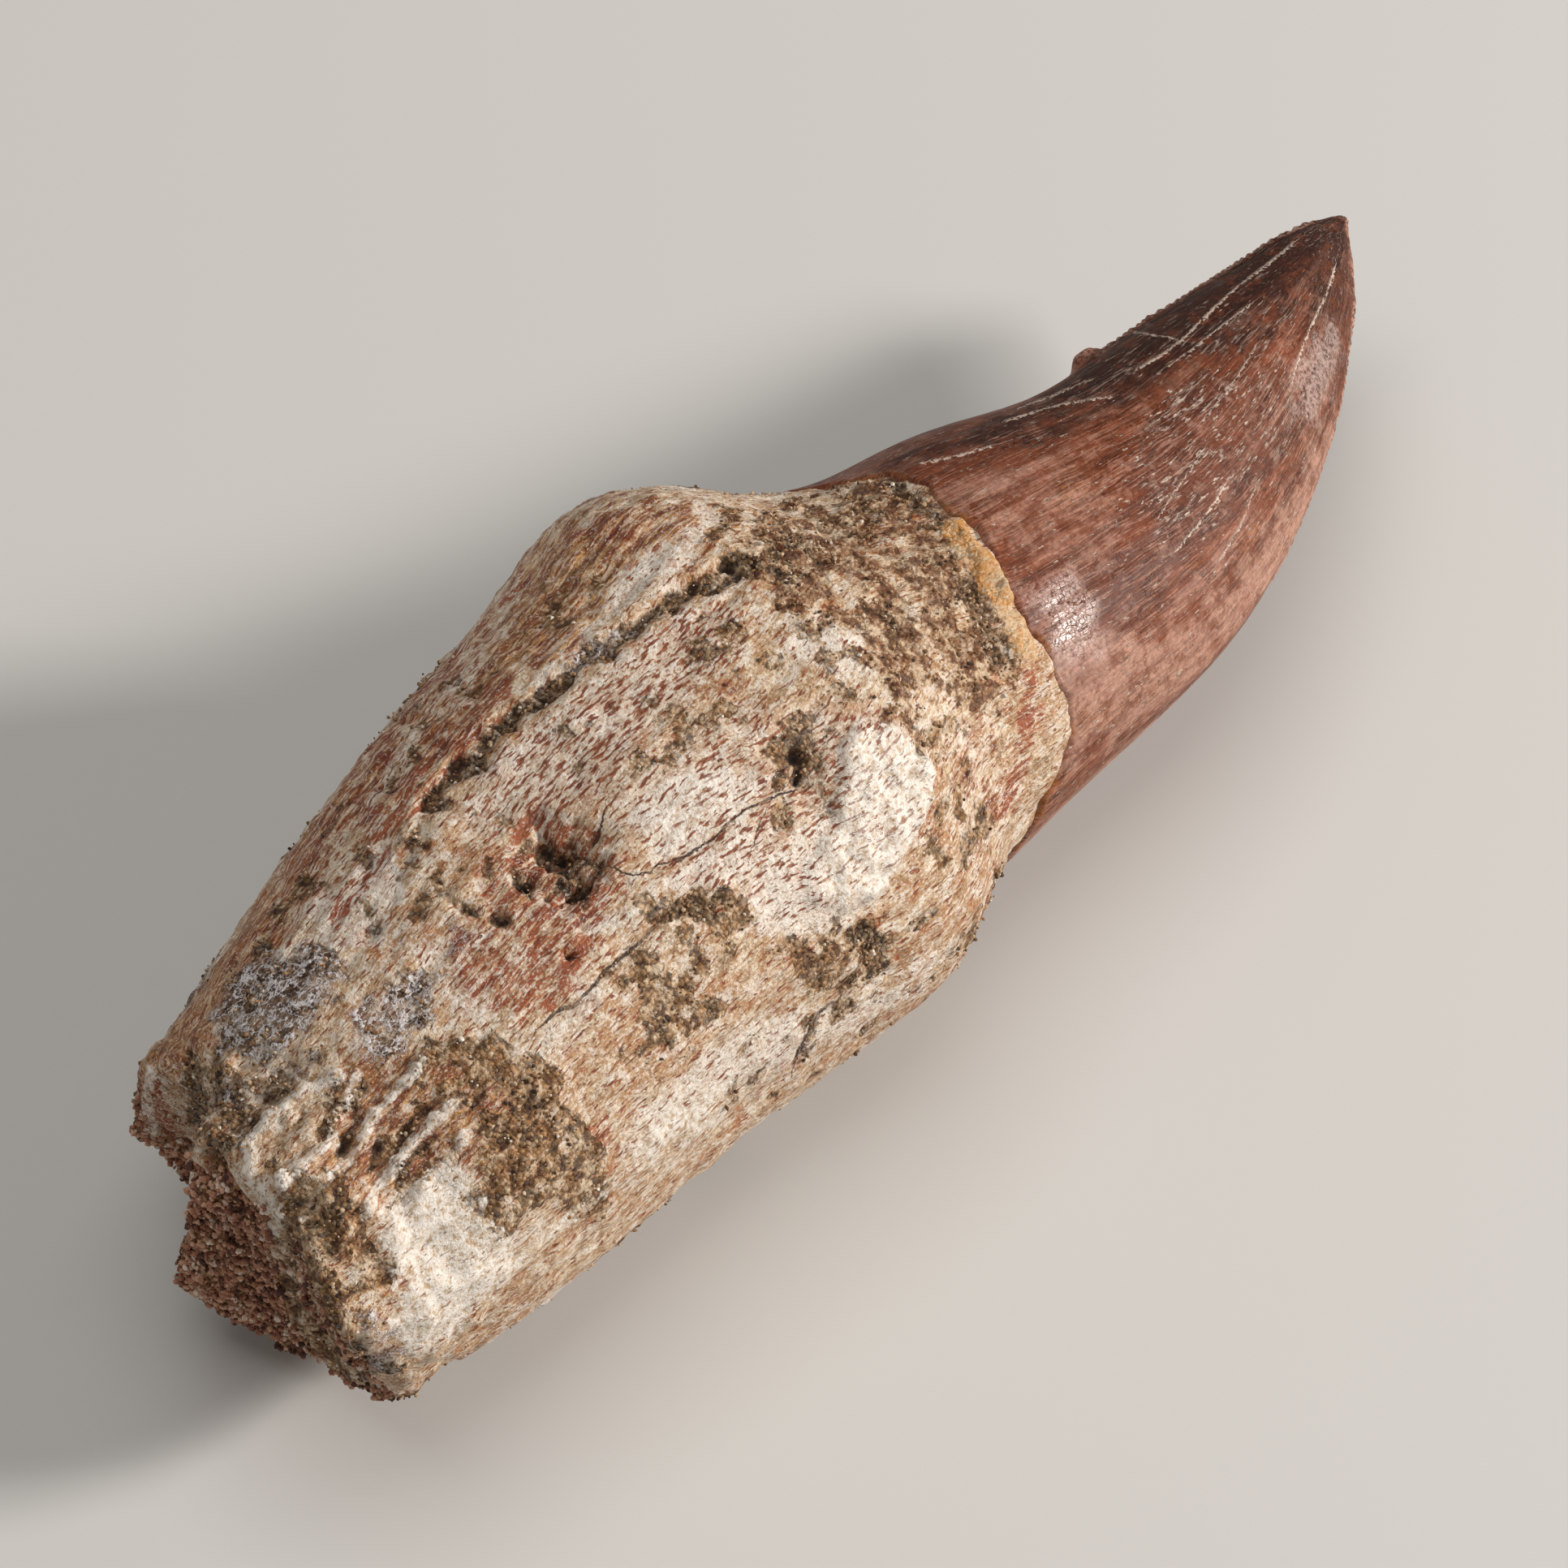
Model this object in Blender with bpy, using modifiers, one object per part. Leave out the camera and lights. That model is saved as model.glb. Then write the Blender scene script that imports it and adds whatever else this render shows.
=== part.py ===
"""A fossil mosasaur tooth lying on its side: one solid, the enamelled crown grown on its bony root.

The tooth lies along X, with its broken root end at -X and the crown's tip at +X. It rests at z = 0 on a
small flat spot worn on the underside of the root. The origin is the bottom centre of its bounding box.
Sizes are in millimetres until the last step, which turns them into metres.
"""

import math
from itertools import pairwise
from typing import NamedTuple

import bmesh
import bpy
from mathutils import Matrix, Vector

MM = 0.001
OBJECT_NAME = "mosasaur_tooth"
NODE_NAME = "tooth"

RING_POINTS = 14
SMOOTHING_LEVELS = 2
CROWN_EDGE_CREASE = 0.5
CROWN_EDGE_SECTIONS = 7

BONE_COLOUR = (0.60, 0.45, 0.32, 1.0)
BONE_ROUGHNESS = 0.75
SHARP_EDGE_ANGLE = math.radians(40.0)


class Section(NamedTuple):
    """One cross-section of the tooth, square to its own axis.

    along: distance of its centre from the root's broken end.
    side, rise: its centre's place across the tooth (+Y) and above the floor (+Z).
    half_width, half_height: its half sizes across and up.
    pinch: 1 is an ellipse, less is fuller and squarer, more is lens-shaped with a cutting edge each side.
    turn: how far its axis is turned from +X about +Z, in degrees.
    """

    along: float
    side: float
    rise: float
    half_width: float
    half_height: float
    pinch: float
    turn: float = 0.0


SECTIONS = (
    Section(-6.0, 2.2, 12.2, 9.6, 8.6, 0.90),
    Section(2.5, 2.3, 12.5, 10.5, 9.4, 0.87),
    Section(8.5, 1.9, 12.8, 11.6, 10.4, 0.87),
    Section(14.5, 2.1, 13.0, 12.7, 11.6, 0.87),
    Section(21.0, 2.5, 13.2, 13.6, 12.8, 0.87),
    Section(28.0, 2.9, 13.3, 14.3, 13.7, 0.87),
    Section(35.0, 2.6, 13.3, 15.4, 14.0, 0.88),
    Section(40.5, 2.4, 13.2, 16.1, 13.9, 0.89),
    Section(44.5, 2.9, 13.1, 16.4, 13.5, 0.90, -2.0),
    Section(48.0, 3.7, 13.0, 15.5, 12.9, 0.92, -3.0),
    Section(51.2, 2.3, 12.9, 13.5, 12.0, 0.95, -5.0),
    Section(54.2, 0.3, 12.7, 11.9, 10.8, 0.98, -8.0),
    Section(57.6, -0.3, 12.5, 11.2, 10.0, 1.00, -10.0),
    Section(63.0, -0.9, 12.2, 10.9, 9.4, 1.04, -11.0),
    Section(69.5, -2.8, 11.8, 9.1, 8.2, 1.10, -9.0),
    Section(76.0, -1.9, 11.4, 8.0, 6.8, 1.18, -3.0),
    Section(82.0, -0.8, 11.0, 6.4, 5.3, 1.26, 4.0),
    Section(87.3, 0.4, 10.7, 4.4, 3.7, 1.30, 10.0),
    Section(91.4, 1.5, 10.4, 2.7, 2.3, 1.28, 15.0),
    Section(94.3, 2.5, 10.3, 1.1, 1.0, 1.20, 18.0),
)


class Swelling(NamedTuple):
    """A place where the grown bone stands out or dips in, smoothly, by at most height within reach."""

    name: str
    along: float
    side: float
    rise: float
    reach: float
    height: float


SWELLINGS = (
    Swelling("ridge over the left shoulder", 45.0, 15.0, 21.0, 9.0, 0.7),
    Swelling("left shoulder's corner", 48.0, 19.0, 13.0, 7.0, 0.6),
    Swelling("right shoulder", 43.0, -13.0, 13.0, 9.0, 0.5),
    Swelling("lobe below the collar", 45.0, -6.0, 24.5, 8.0, 0.9),
    Swelling("hollow behind the collar", 53.0, 6.0, 23.0, 8.0, -1.0),
    Swelling("worn pit's basin", 27.0, 3.5, 26.5, 7.0, -0.7),
    Swelling("flat of the broken end", 9.0, -4.0, 22.5, 7.0, -0.6),
    Swelling("bulge near the broken end", 13.0, 8.0, 23.0, 8.0, 0.5),
    Swelling("hollow under the left shoulder", 39.0, 17.5, 7.0, 9.0, -0.8),
    Swelling("bulge under the right shoulder", 47.0, -9.0, 4.0, 8.0, 0.5),
)


class BreakPoint(NamedTuple):
    """One point of the line along which the root broke, above the tooth and below it."""

    high_along: float
    high_side: float
    low_along: float
    low_side: float


BREAK_HIGH = 28.0
BREAK_LOW = -2.0
BREAK_BACK = -16.0
BREAK_LINE = (
    BreakPoint(0.6, -18.0, 6.0, -18.0),
    BreakPoint(-0.4, -9.0, 6.2, -9.0),
    BreakPoint(-1.8, -6.2, 6.6, -6.5),
    BreakPoint(0.6, -3.2, 6.1, -3.0),
    BreakPoint(2.8, 0.0, 5.2, 0.5),
    BreakPoint(3.3, 4.0, 3.4, 8.6),
    BreakPoint(6.1, 5.4, 9.4, 9.5),
    BreakPoint(5.8, 8.4, 8.0, 11.6),
    BreakPoint(5.4, 11.7, 6.4, 13.3),
    BreakPoint(5.0, 22.0, 5.4, 22.0),
)

FLOOR_CUT_LENGTH = 160.0
FLOOR_CUT_WIDTH = 60.0
FLOOR_CUT_DEPTH = 20.0


def outline(section):
    """The section's points, counter-clockwise as seen from the tip, starting at +Y."""
    turned = Matrix.Rotation(math.radians(section.turn), 3, "Z")
    centre = Vector((section.along, section.side, section.rise))
    points = []
    for k in range(RING_POINTS):
        angle = math.tau * k / RING_POINTS
        across = math.copysign(abs(math.cos(angle)) ** min(section.pinch, 1.0), math.cos(angle))
        up = math.copysign(abs(math.sin(angle)) ** section.pinch, math.sin(angle))
        local = Vector((0.0, section.half_width * across, section.half_height * up))
        points.append(centre + turned @ local)
    return points


def loft(bm, outlines):
    """Skins a row of outlines with quads and closes both ends. Returns the rings of points."""
    rings = [[bm.verts.new(point) for point in points] for points in outlines]
    count = len(rings[0])
    for near, far in pairwise(rings):
        for k in range(count):
            following = (k + 1) % count
            bm.faces.new((near[k], near[following], far[following], far[k]))
    bm.faces.new(list(reversed(rings[0])))
    bm.faces.new(rings[-1])
    return rings


def crease_line(bm, points, amount):
    """Sharpens the edges along a row of cage points."""
    layer = bm.edges.layers.float.get("crease_edge") or bm.edges.layers.float.new("crease_edge")
    for a, b in pairwise(points):
        bm.edges.get((a, b))[layer] = amount


def make_tooth():
    """Makes the tooth's smooth body from its cage, in millimetres."""
    bm = bmesh.new()
    rings = loft(bm, [outline(section) for section in SECTIONS])
    crown_rings = rings[-CROWN_EDGE_SECTIONS:]
    crease_line(bm, [ring[0] for ring in crown_rings], CROWN_EDGE_CREASE)
    crease_line(bm, [ring[RING_POINTS // 2] for ring in crown_rings], CROWN_EDGE_CREASE)
    mesh = bpy.data.meshes.new(NODE_NAME)
    bm.to_mesh(mesh)
    bm.free()
    tooth = bpy.data.objects.new(NODE_NAME, mesh)
    smoothing = tooth.modifiers.new("grown form", "SUBSURF")
    smoothing.levels = SMOOTHING_LEVELS
    smoothing.render_levels = SMOOTHING_LEVELS
    return tooth


def apply_modifiers(tooth):
    """Replaces the object's mesh by its evaluated one."""
    bpy.context.view_layer.update()
    graph = bpy.context.evaluated_depsgraph_get()
    finished = bpy.data.meshes.new_from_object(tooth.evaluated_get(graph))
    tooth.modifiers.clear()
    tooth.data = finished


def swelling_at(point):
    """How far the surface stands out at a point: each swelling fades to nothing at its reach."""
    total = 0.0
    for swelling in SWELLINGS:
        centre = Vector((swelling.along, swelling.side, swelling.rise))
        share = max(0.0, 1.0 - (point - centre).length / swelling.reach)
        total += swelling.height * share * share * (3.0 - 2.0 * share)
    return total


def raise_swellings(mesh):
    """Pushes the surface out or in along its normals, by the swellings."""
    bm = bmesh.new()
    bm.from_mesh(mesh)
    bm.normal_update()
    moves = [vert.normal * swelling_at(vert.co) for vert in bm.verts]
    for vert, move in zip(bm.verts, moves, strict=True):
        vert.co += move
    bm.to_mesh(mesh)
    bm.free()


def as_cutter(cutter, collection):
    """Marks an object as one that is cut from the tooth and isn't part of it."""
    cutter.hide_render = True
    cutter.display_type = "WIRE"
    cutter.scale = (MM, MM, MM)
    for holder in cutter.users_collection:
        holder.objects.unlink(cutter)
    collection.objects.link(cutter)
    return cutter


def make_floor_cutter(collection):
    """The slab below z = 0, which leaves the flat spot that the tooth rests on."""
    bpy.ops.mesh.primitive_cube_add(size=1.0)
    cutter = bpy.context.object
    cutter.name = "floor_cutter"
    size = Matrix.Diagonal((FLOOR_CUT_LENGTH, FLOOR_CUT_WIDTH, FLOOR_CUT_DEPTH, 1.0))
    middle = Matrix.Translation((FLOOR_CUT_LENGTH / 4.0, 0.0, -FLOOR_CUT_DEPTH / 2.0))
    cutter.data.transform(middle @ size)
    return as_cutter(cutter, collection)


def make_break_cutter(collection):
    """The bone beyond the broken line: a block whose front is the uneven, stepped face of the break."""
    low = [Vector((point.low_along, point.low_side, BREAK_LOW)) for point in BREAK_LINE]
    high = [Vector((point.high_along, point.high_side, BREAK_HIGH)) for point in BREAK_LINE]
    for line, height in ((low, BREAK_LOW), (high, BREAK_HIGH)):
        line.append(Vector((BREAK_BACK, BREAK_LINE[-1].low_side, height)))
        line.append(Vector((BREAK_BACK, BREAK_LINE[0].low_side, height)))
    bm = bmesh.new()
    loft(bm, [low, high])
    bmesh.ops.triangulate(bm, faces=bm.faces)
    bmesh.ops.recalc_face_normals(bm, faces=bm.faces)
    mesh = bpy.data.meshes.new("break_cutter")
    bm.to_mesh(mesh)
    bm.free()
    return as_cutter(bpy.data.objects.new("break_cutter", mesh), collection)


def cut(tooth, cutter):
    """Cuts the cutter from the tooth."""
    boolean = tooth.modifiers.new(cutter.name, "BOOLEAN")
    boolean.operation = "DIFFERENCE"
    boolean.object = cutter


def fossil_material():
    """The bone's overall colour and polish."""
    material = bpy.data.materials.new("fossil_bone")
    material.use_nodes = True
    shader = material.node_tree.nodes["Principled BSDF"]
    shader.inputs["Base Color"].default_value = BONE_COLOUR
    shader.inputs["Roughness"].default_value = BONE_ROUGHNESS
    shader.inputs["Metallic"].default_value = 0.0
    return material


def to_origin(mesh):
    """Puts the bottom centre of the mesh's bounding box at the origin."""
    low = Vector(tuple(min(vert.co[axis] for vert in mesh.vertices) for axis in range(3)))
    high = Vector(tuple(max(vert.co[axis] for vert in mesh.vertices) for axis in range(3)))
    middle = (low + high) / 2.0
    mesh.transform(Matrix.Translation((-middle.x, -middle.y, -low.z)))


def clear_scene():
    """Removes whatever the scene holds."""
    for obj in list(bpy.data.objects):
        bpy.data.objects.remove(obj)


def make_collection(name):
    """A new collection, linked to the scene."""
    collection = bpy.data.collections.new(name)
    bpy.context.scene.collection.children.link(collection)
    return collection


def main():
    """Builds the tooth at its real size."""
    clear_scene()
    parts = make_collection(OBJECT_NAME)
    cutters = make_collection("cutters")
    tooth = make_tooth()
    parts.objects.link(tooth)
    apply_modifiers(tooth)
    raise_swellings(tooth.data)
    tooth.data.transform(Matrix.Scale(MM, 4))
    cut(tooth, make_floor_cutter(cutters))
    cut(tooth, make_break_cutter(cutters))
    apply_modifiers(tooth)
    to_origin(tooth.data)
    tooth.data.shade_smooth()
    tooth.data.set_sharp_from_angle(angle=SHARP_EDGE_ANGLE)
    tooth.data.materials.clear()
    tooth.data.materials.append(fossil_material())


main()
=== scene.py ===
"""Looks of a fossil mosasaur tooth: worn bone root, enamel crown, and the sand that clings to both.

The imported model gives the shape. The root and the crown are finer copies of it, carved and
coloured from named marks. Lengths in this file are millimetres until a mesh is finished.
"""

import logging
import math
from collections.abc import Sequence
from dataclasses import dataclass, field
from enum import Enum

import bmesh
import bpy
import numpy as np
from mathutils import Matrix, Vector, noise


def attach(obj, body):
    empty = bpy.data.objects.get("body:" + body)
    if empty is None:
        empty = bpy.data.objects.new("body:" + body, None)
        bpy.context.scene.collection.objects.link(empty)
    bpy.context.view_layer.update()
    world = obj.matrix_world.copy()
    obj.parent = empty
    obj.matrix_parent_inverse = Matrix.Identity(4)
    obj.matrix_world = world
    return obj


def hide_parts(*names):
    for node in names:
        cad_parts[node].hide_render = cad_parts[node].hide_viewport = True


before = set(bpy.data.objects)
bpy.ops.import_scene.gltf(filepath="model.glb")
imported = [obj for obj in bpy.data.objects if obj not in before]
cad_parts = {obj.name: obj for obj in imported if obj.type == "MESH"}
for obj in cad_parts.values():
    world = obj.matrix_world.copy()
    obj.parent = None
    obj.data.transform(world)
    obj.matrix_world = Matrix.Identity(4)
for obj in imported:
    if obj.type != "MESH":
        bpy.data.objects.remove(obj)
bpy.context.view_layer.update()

logging.basicConfig(level=logging.INFO, format="%(message)s")
LOG = logging.getLogger("tooth")

MM = 0.001
NODE = "tooth"
BODY = "root"

LOWEST = 0.01
FAR_AWAY = 1e9

Points = Sequence[tuple[float, float]]
Colour = tuple[float, float, float]
NO_TINT: Colour = (1.0, 1.0, 1.0)


# Shader building


def srgb(red: float, green: float, blue: float) -> Colour:
    """Turns a 0 to 255 display colour into the linear one that shaders use."""
    return tuple(((c / 255 + 0.055) / 1.055) ** 2.4 if c > 10 else c / 3294.6 for c in (red, green, blue))


class Value:
    """What a shader node gives, usable in Python expressions."""

    def __init__(self, graph: "Graph", socket: bpy.types.NodeSocket) -> None:
        """Keeps the graph and the socket."""
        self.graph = graph
        self.socket = socket

    def __add__(self, other: "Term") -> "Value":
        """self + other."""
        return self.graph.math("ADD", self, other)

    __radd__ = __add__

    def __sub__(self, other: "Term") -> "Value":
        """self - other."""
        return self.graph.math("SUBTRACT", self, other)

    def __rsub__(self, other: "Term") -> "Value":
        """other - self."""
        return self.graph.math("SUBTRACT", other, self)

    def __mul__(self, other: "Term") -> "Value":
        """self * other."""
        return self.graph.math("MULTIPLY", self, other)

    __rmul__ = __mul__

    def __abs__(self) -> "Value":
        """abs(self)."""
        return self.graph.math("ABSOLUTE", self)

    def __or__(self, other: "Term") -> "Value":
        """The larger of the two."""
        return self.graph.math("MAXIMUM", self, other)

    def step(self, low: float, high: float) -> "Value":
        """A smooth rise from 0 at low to 1 at high, or a fall where low is above high."""
        settings = {"interpolation_type": "SMOOTHSTEP"}
        inputs = {"Value": self, "From Min": low, "From Max": high}
        return Value(self.graph, self.graph.node("ShaderNodeMapRange", settings, inputs).outputs[0])


Term = Value | float


class Graph:
    """A material's node tree under construction."""

    def __init__(self, name: str) -> None:
        """Starts an empty node tree in a new material."""
        self.material = bpy.data.materials.new(name)
        self.material.use_nodes = True
        self.tree = self.material.node_tree
        self.tree.nodes.clear()

    def node(self, kind: str, settings: dict, inputs: dict) -> bpy.types.Node:
        """Adds a node.

        Args:
            kind: The node's type name.
            settings: The node's own options, set first.
            inputs: Values or links for its sockets, by name or number.

        Returns:
            The new node.
        """
        node = self.tree.nodes.new(kind)
        for name, value in settings.items():
            setattr(node, name, value)
        for key, value in inputs.items():
            socket = node.inputs[key]
            if isinstance(value, Value):
                self.tree.links.new(value.socket, socket)
            elif socket.type == "RGBA":
                socket.default_value = (*value, 1.0)
            else:
                socket.default_value = value
        return node

    def math(self, operation: str, *values: Term) -> Value:
        """A Math node on one or two numbers."""
        inputs = dict(enumerate(values))
        return Value(self, self.node("ShaderNodeMath", {"operation": operation}, inputs).outputs[0])

    def vector(self, operation: str, first: Value, second: "Value | tuple") -> Value:
        """A Vector Math node on two vectors."""
        node = self.node("ShaderNodeVectorMath", {"operation": operation}, {0: first, 1: second})
        return Value(self, node.outputs[0])

    def mix(self, factor: Term, first: "Value | Colour", second: "Value | Colour",
            blend: str = "MIX") -> Value:
        """A colour that goes from first to the blend of both as factor goes from 0 to 1."""
        settings = {"data_type": "RGBA", "blend_type": blend}
        return Value(self, self.node("ShaderNodeMix", settings, {0: factor, 6: first, 7: second}).outputs[2])

    def tint(self, factor: Term, first: Value, second: "Value | Colour") -> Value:
        """first multiplied by second, as far as factor says."""
        return self.mix(factor, first, second, "MULTIPLY")

    def place(self) -> Value:
        """The object position in millimetres."""
        node = self.node("ShaderNodeTexCoord", {}, {})
        return self.vector("MULTIPLY", Value(self, node.outputs["Object"]), (1000.0,) * 3)

    def number(self, name: str) -> Value:
        """A number that the mesh carries at its points."""
        return Value(self, self.node("ShaderNodeAttribute", {"attribute_name": name}, {}).outputs["Fac"])

    def grain(self) -> Value:
        """The place along the tooth's own grain, made to wander a little."""
        node = self.node("ShaderNodeAttribute", {"attribute_name": "grain"}, {})
        straight = Value(self, node.outputs["Vector"])
        noise_node = self.node("ShaderNodeTexNoise", {}, {"Vector": straight, "Scale": 0.4, "Detail": 1.0})
        centred = self.vector("SUBTRACT", Value(self, noise_node.outputs[1]), (0.5,) * 3)
        return self.vector("ADD", straight, self.vector("MULTIPLY", centred, (0.4,) * 3))

    def noise(self, where: Value, size: "float | tuple", detail: float = 2.0, rough: float = 0.5) -> Value:
        """Soft noise around 0.5.

        Args:
            where: Position in millimetres.
            size: How many millimetres a blotch measures, as one number or along each axis.
            detail: Number of finer layers.
            rough: Strength of the finer layers.

        Returns:
            The noise's value.
        """
        sizes = size if isinstance(size, tuple) else (size,) * 3
        scaled = self.vector("MULTIPLY", where, tuple(1.0 / s for s in sizes))
        inputs = {"Vector": scaled, "Scale": 1.0, "Detail": detail, "Roughness": rough}
        return Value(self, self.node("ShaderNodeTexNoise", {}, inputs).outputs[0])

    def cells(self, where: Value, size: float) -> tuple[Value, Value]:
        """Scattered cells.

        Args:
            where: Position in millimetres.
            size: A cell's size in millimetres.

        Returns:
            The distance to the nearest cell's middle, in cells, and a random number for that cell.
        """
        inputs = {"Vector": self.vector("MULTIPLY", where, (1.0 / size,) * 3), "Scale": 1.0}
        node = self.node("ShaderNodeTexVoronoi", {}, inputs)
        split = self.node("ShaderNodeSeparateColor", {}, {0: Value(self, node.outputs["Color"])})
        return Value(self, node.outputs["Distance"]), Value(self, split.outputs[0])

    def cell_edges(self, where: Value, size: float) -> Value:
        """The distance to the nearest edge between scattered cells, in cells of that size in millimetres."""
        inputs = {"Vector": self.vector("MULTIPLY", where, (1.0 / size,) * 3), "Scale": 1.0}
        node = self.node("ShaderNodeTexVoronoi", {"feature": "DISTANCE_TO_EDGE"}, inputs)
        return Value(self, node.outputs["Distance"])

    def lines(self, lines: Sequence["FineLine"], speck: Value, wander: float, soft: float) -> Value:
        """Drawn fine lines.

        Args:
            lines: The lines, whose distances the mesh carries under their names.
            speck: Noise that makes the lines wander.
            wander: How far they wander, in sheet units.
            soft: Half the width of their soft edge, in sheet units.

        Returns:
            1 on a line and 0 elsewhere.
        """
        found: Value | None = None
        for line in lines:
            gap = abs(self.number(line.name) + (speck - 0.5) * wander)
            shown = gap.step(line.width / 2 + soft, line.width / 2 - soft)
            found = shown if found is None else found | shown
        return found

    def finish(self, colour: Value, rough: Term, height: Value, others: dict) -> bpy.types.Material:
        """Closes the material.

        Args:
            colour: Surface colour.
            rough: Roughness.
            height: Fine relief in millimetres.
            others: Further values of the surface shader.

        Returns:
            The finished material.
        """
        bump = self.node("ShaderNodeBump", {}, {"Strength": 1.0, "Distance": MM, "Height": height})
        inputs = {"Base Color": colour, "Roughness": rough, "Normal": Value(self, bump.outputs[0])}
        shader = self.node("ShaderNodeBsdfPrincipled", {}, inputs | others)
        self.node("ShaderNodeOutputMaterial", {}, {"Surface": Value(self, shader.outputs[0])})
        return self.material


# Marks drawn on the tooth


class Zone(Enum):
    """What a mark stands for, which is also the name of the mesh's number for it."""

    DIRT = "dirt"
    RUST = "rust"
    CRUST = "crust"
    CHALK = "chalk"
    CREAM = "cream"
    RIM = "rim"
    PORED = "pored"
    DARK = "dark"
    BROKEN = "broken"
    BARE = "bare"
    OCHRE = "ochre"
    SHAPE = "shape"
    SHADE = "shade"
    ASH_AND_GLINTS = "ash_and_glints"
    BLUSH = "blush"
    FLAME = "flame"
    GLOSS_AND_HIGHLIGHT = "gloss_and_highlight"


ROOT_ZONES = (Zone.DIRT, Zone.RUST, Zone.CRUST, Zone.CHALK, Zone.CREAM, Zone.RIM, Zone.PORED, Zone.DARK,
              Zone.BROKEN, Zone.BARE, Zone.OCHRE)
CROWN_ZONES = (Zone.SHADE, Zone.ASH_AND_GLINTS, Zone.BLUSH, Zone.FLAME, Zone.GLOSS_AND_HIGHLIGHT)


def smooth(values: np.ndarray, low: float, high: float) -> np.ndarray:
    """A smooth rise from 0 at low to 1 at high."""
    t = np.clip((values - low) / (high - low), 0.0, 1.0)
    return t * t * (3.0 - 2.0 * t)


@dataclass(frozen=True)
class Sheet:
    """The drawing sheet: the tooth seen from above and to one side, with marks drawn over it.

    Places on the sheet are in sheet units, counted right and down from its upper left corner.
    """

    side: float = 1932.0
    unit: float = 23.09
    elevation: float = 55.0
    azimuth: float = -50.0
    distance: float = 450.0
    aim: tuple[float, float, float] = (-3.59, -2.62, 13.0)
    facing_from: float = -0.02
    facing_to: float = 0.18

    def axes(self) -> tuple[Vector, Vector, Vector]:
        """The sheet's right, its up, and the direction from the tooth to the eye."""
        high, turn = math.radians(self.elevation), math.radians(self.azimuth)
        back = Vector((math.sin(turn) * math.cos(high), -math.cos(turn) * math.cos(high), math.sin(high)))
        right = Vector((0, 0, 1)).cross(back).normalized()
        return right, back.cross(right), back

    def eye(self) -> Vector:
        """The place the sheet is seen from."""
        return Vector(self.aim) + self.axes()[2] * self.distance

    def places(self, points: np.ndarray) -> np.ndarray:
        """Where points of the tooth lie on the sheet, as rows of two numbers."""
        right, up, back = (np.array(axis) for axis in self.axes())
        offset = points - np.array(self.eye())
        reach = self.unit * self.distance / -(offset @ back)
        return np.stack((self.side / 2 + reach * (offset @ right), self.side / 2 - reach * (offset @ up)), 1)

    def facing(self, points: np.ndarray, normals: np.ndarray) -> np.ndarray:
        """1 where the surface faces the eye, 0 where it turns away."""
        to_eye = np.array(self.eye()) - points
        to_eye /= np.linalg.norm(to_eye, axis=1)[:, None]
        return smooth((normals * to_eye).sum(1), self.facing_from, self.facing_to)


SHEET = Sheet()


def distance_to_line(places: np.ndarray, points: Points, closed: bool = False) -> np.ndarray:
    """Distance from each place to a broken line.

    Args:
        places: Rows of two coordinates.
        points: The line's corners.
        closed: Whether the line's end joins its start.

    Returns:
        One distance for each place, positive on the left of the line's nearest piece.
    """
    corners = [np.array(p, float) for p in points]
    if closed:
        corners.append(corners[0])
    nearest = np.full(len(places), FAR_AWAY)
    signed = nearest.copy()
    for a, b in zip(corners, corners[1:]):
        run = b - a
        t = np.clip((places - a) @ run / (run @ run), 0.0, 1.0)
        gap = places - a - t[:, None] * run
        size = np.hypot(gap[:, 0], gap[:, 1])
        side = np.where(run[0] * gap[:, 1] - run[1] * gap[:, 0] < 0, 1.0, -1.0)
        closer = size < nearest
        nearest = np.where(closer, size, nearest)
        signed = np.where(closer, size * side, signed)
    return signed


def is_inside(places: np.ndarray, points: Points) -> np.ndarray:
    """Whether each place lies inside a closed outline."""
    found = np.zeros(len(places), bool)
    x, y = places[:, 0], places[:, 1]
    for (ax, ay), (bx, by) in zip(points, [*points[1:], points[0]]):
        if ay != by:
            found ^= ((ay > y) != (by > y)) & (x < (bx - ax) * (y - ay) / (by - ay) + ax)
    return found


@dataclass(frozen=True)
class Mark:
    """A mark drawn on the sheet. Its lift is in millimetres, its other sizes in sheet units."""

    points: Points
    strength: float = 1.0
    lift: float = 0.0
    soft: float = 14.0
    ragged: float = 16.0

    def amount(self, places: np.ndarray, roughness: np.ndarray) -> np.ndarray:
        """How much of the mark is at each place, 0 to 1."""
        raise NotImplementedError


@dataclass(frozen=True)
class Area(Mark):
    """A filled outline."""

    def amount(self, places: np.ndarray, roughness: np.ndarray) -> np.ndarray:
        """1 inside the outline, 0 outside it, with a soft ragged edge."""
        depth = np.abs(distance_to_line(places, self.points, closed=True))
        depth = np.where(is_inside(places, self.points), depth, -depth)
        return smooth(depth + self.ragged * roughness, -self.soft, self.soft)


@dataclass(frozen=True)
class Stroke(Mark):
    """A line of some width."""

    width: float = 12.0

    def amount(self, places: np.ndarray, roughness: np.ndarray) -> np.ndarray:
        """1 along the line, 0 away from it, with a soft ragged edge."""
        gap = self.width / 2 - np.abs(distance_to_line(places, self.points))
        return smooth(gap + self.ragged * roughness, -self.soft, self.soft)


@dataclass(frozen=True)
class FineLine:
    """A thin line on the surface, sunk by its depth, or raised where that is below 0."""

    name: str
    points: Points
    width: float
    depth: float


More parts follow.
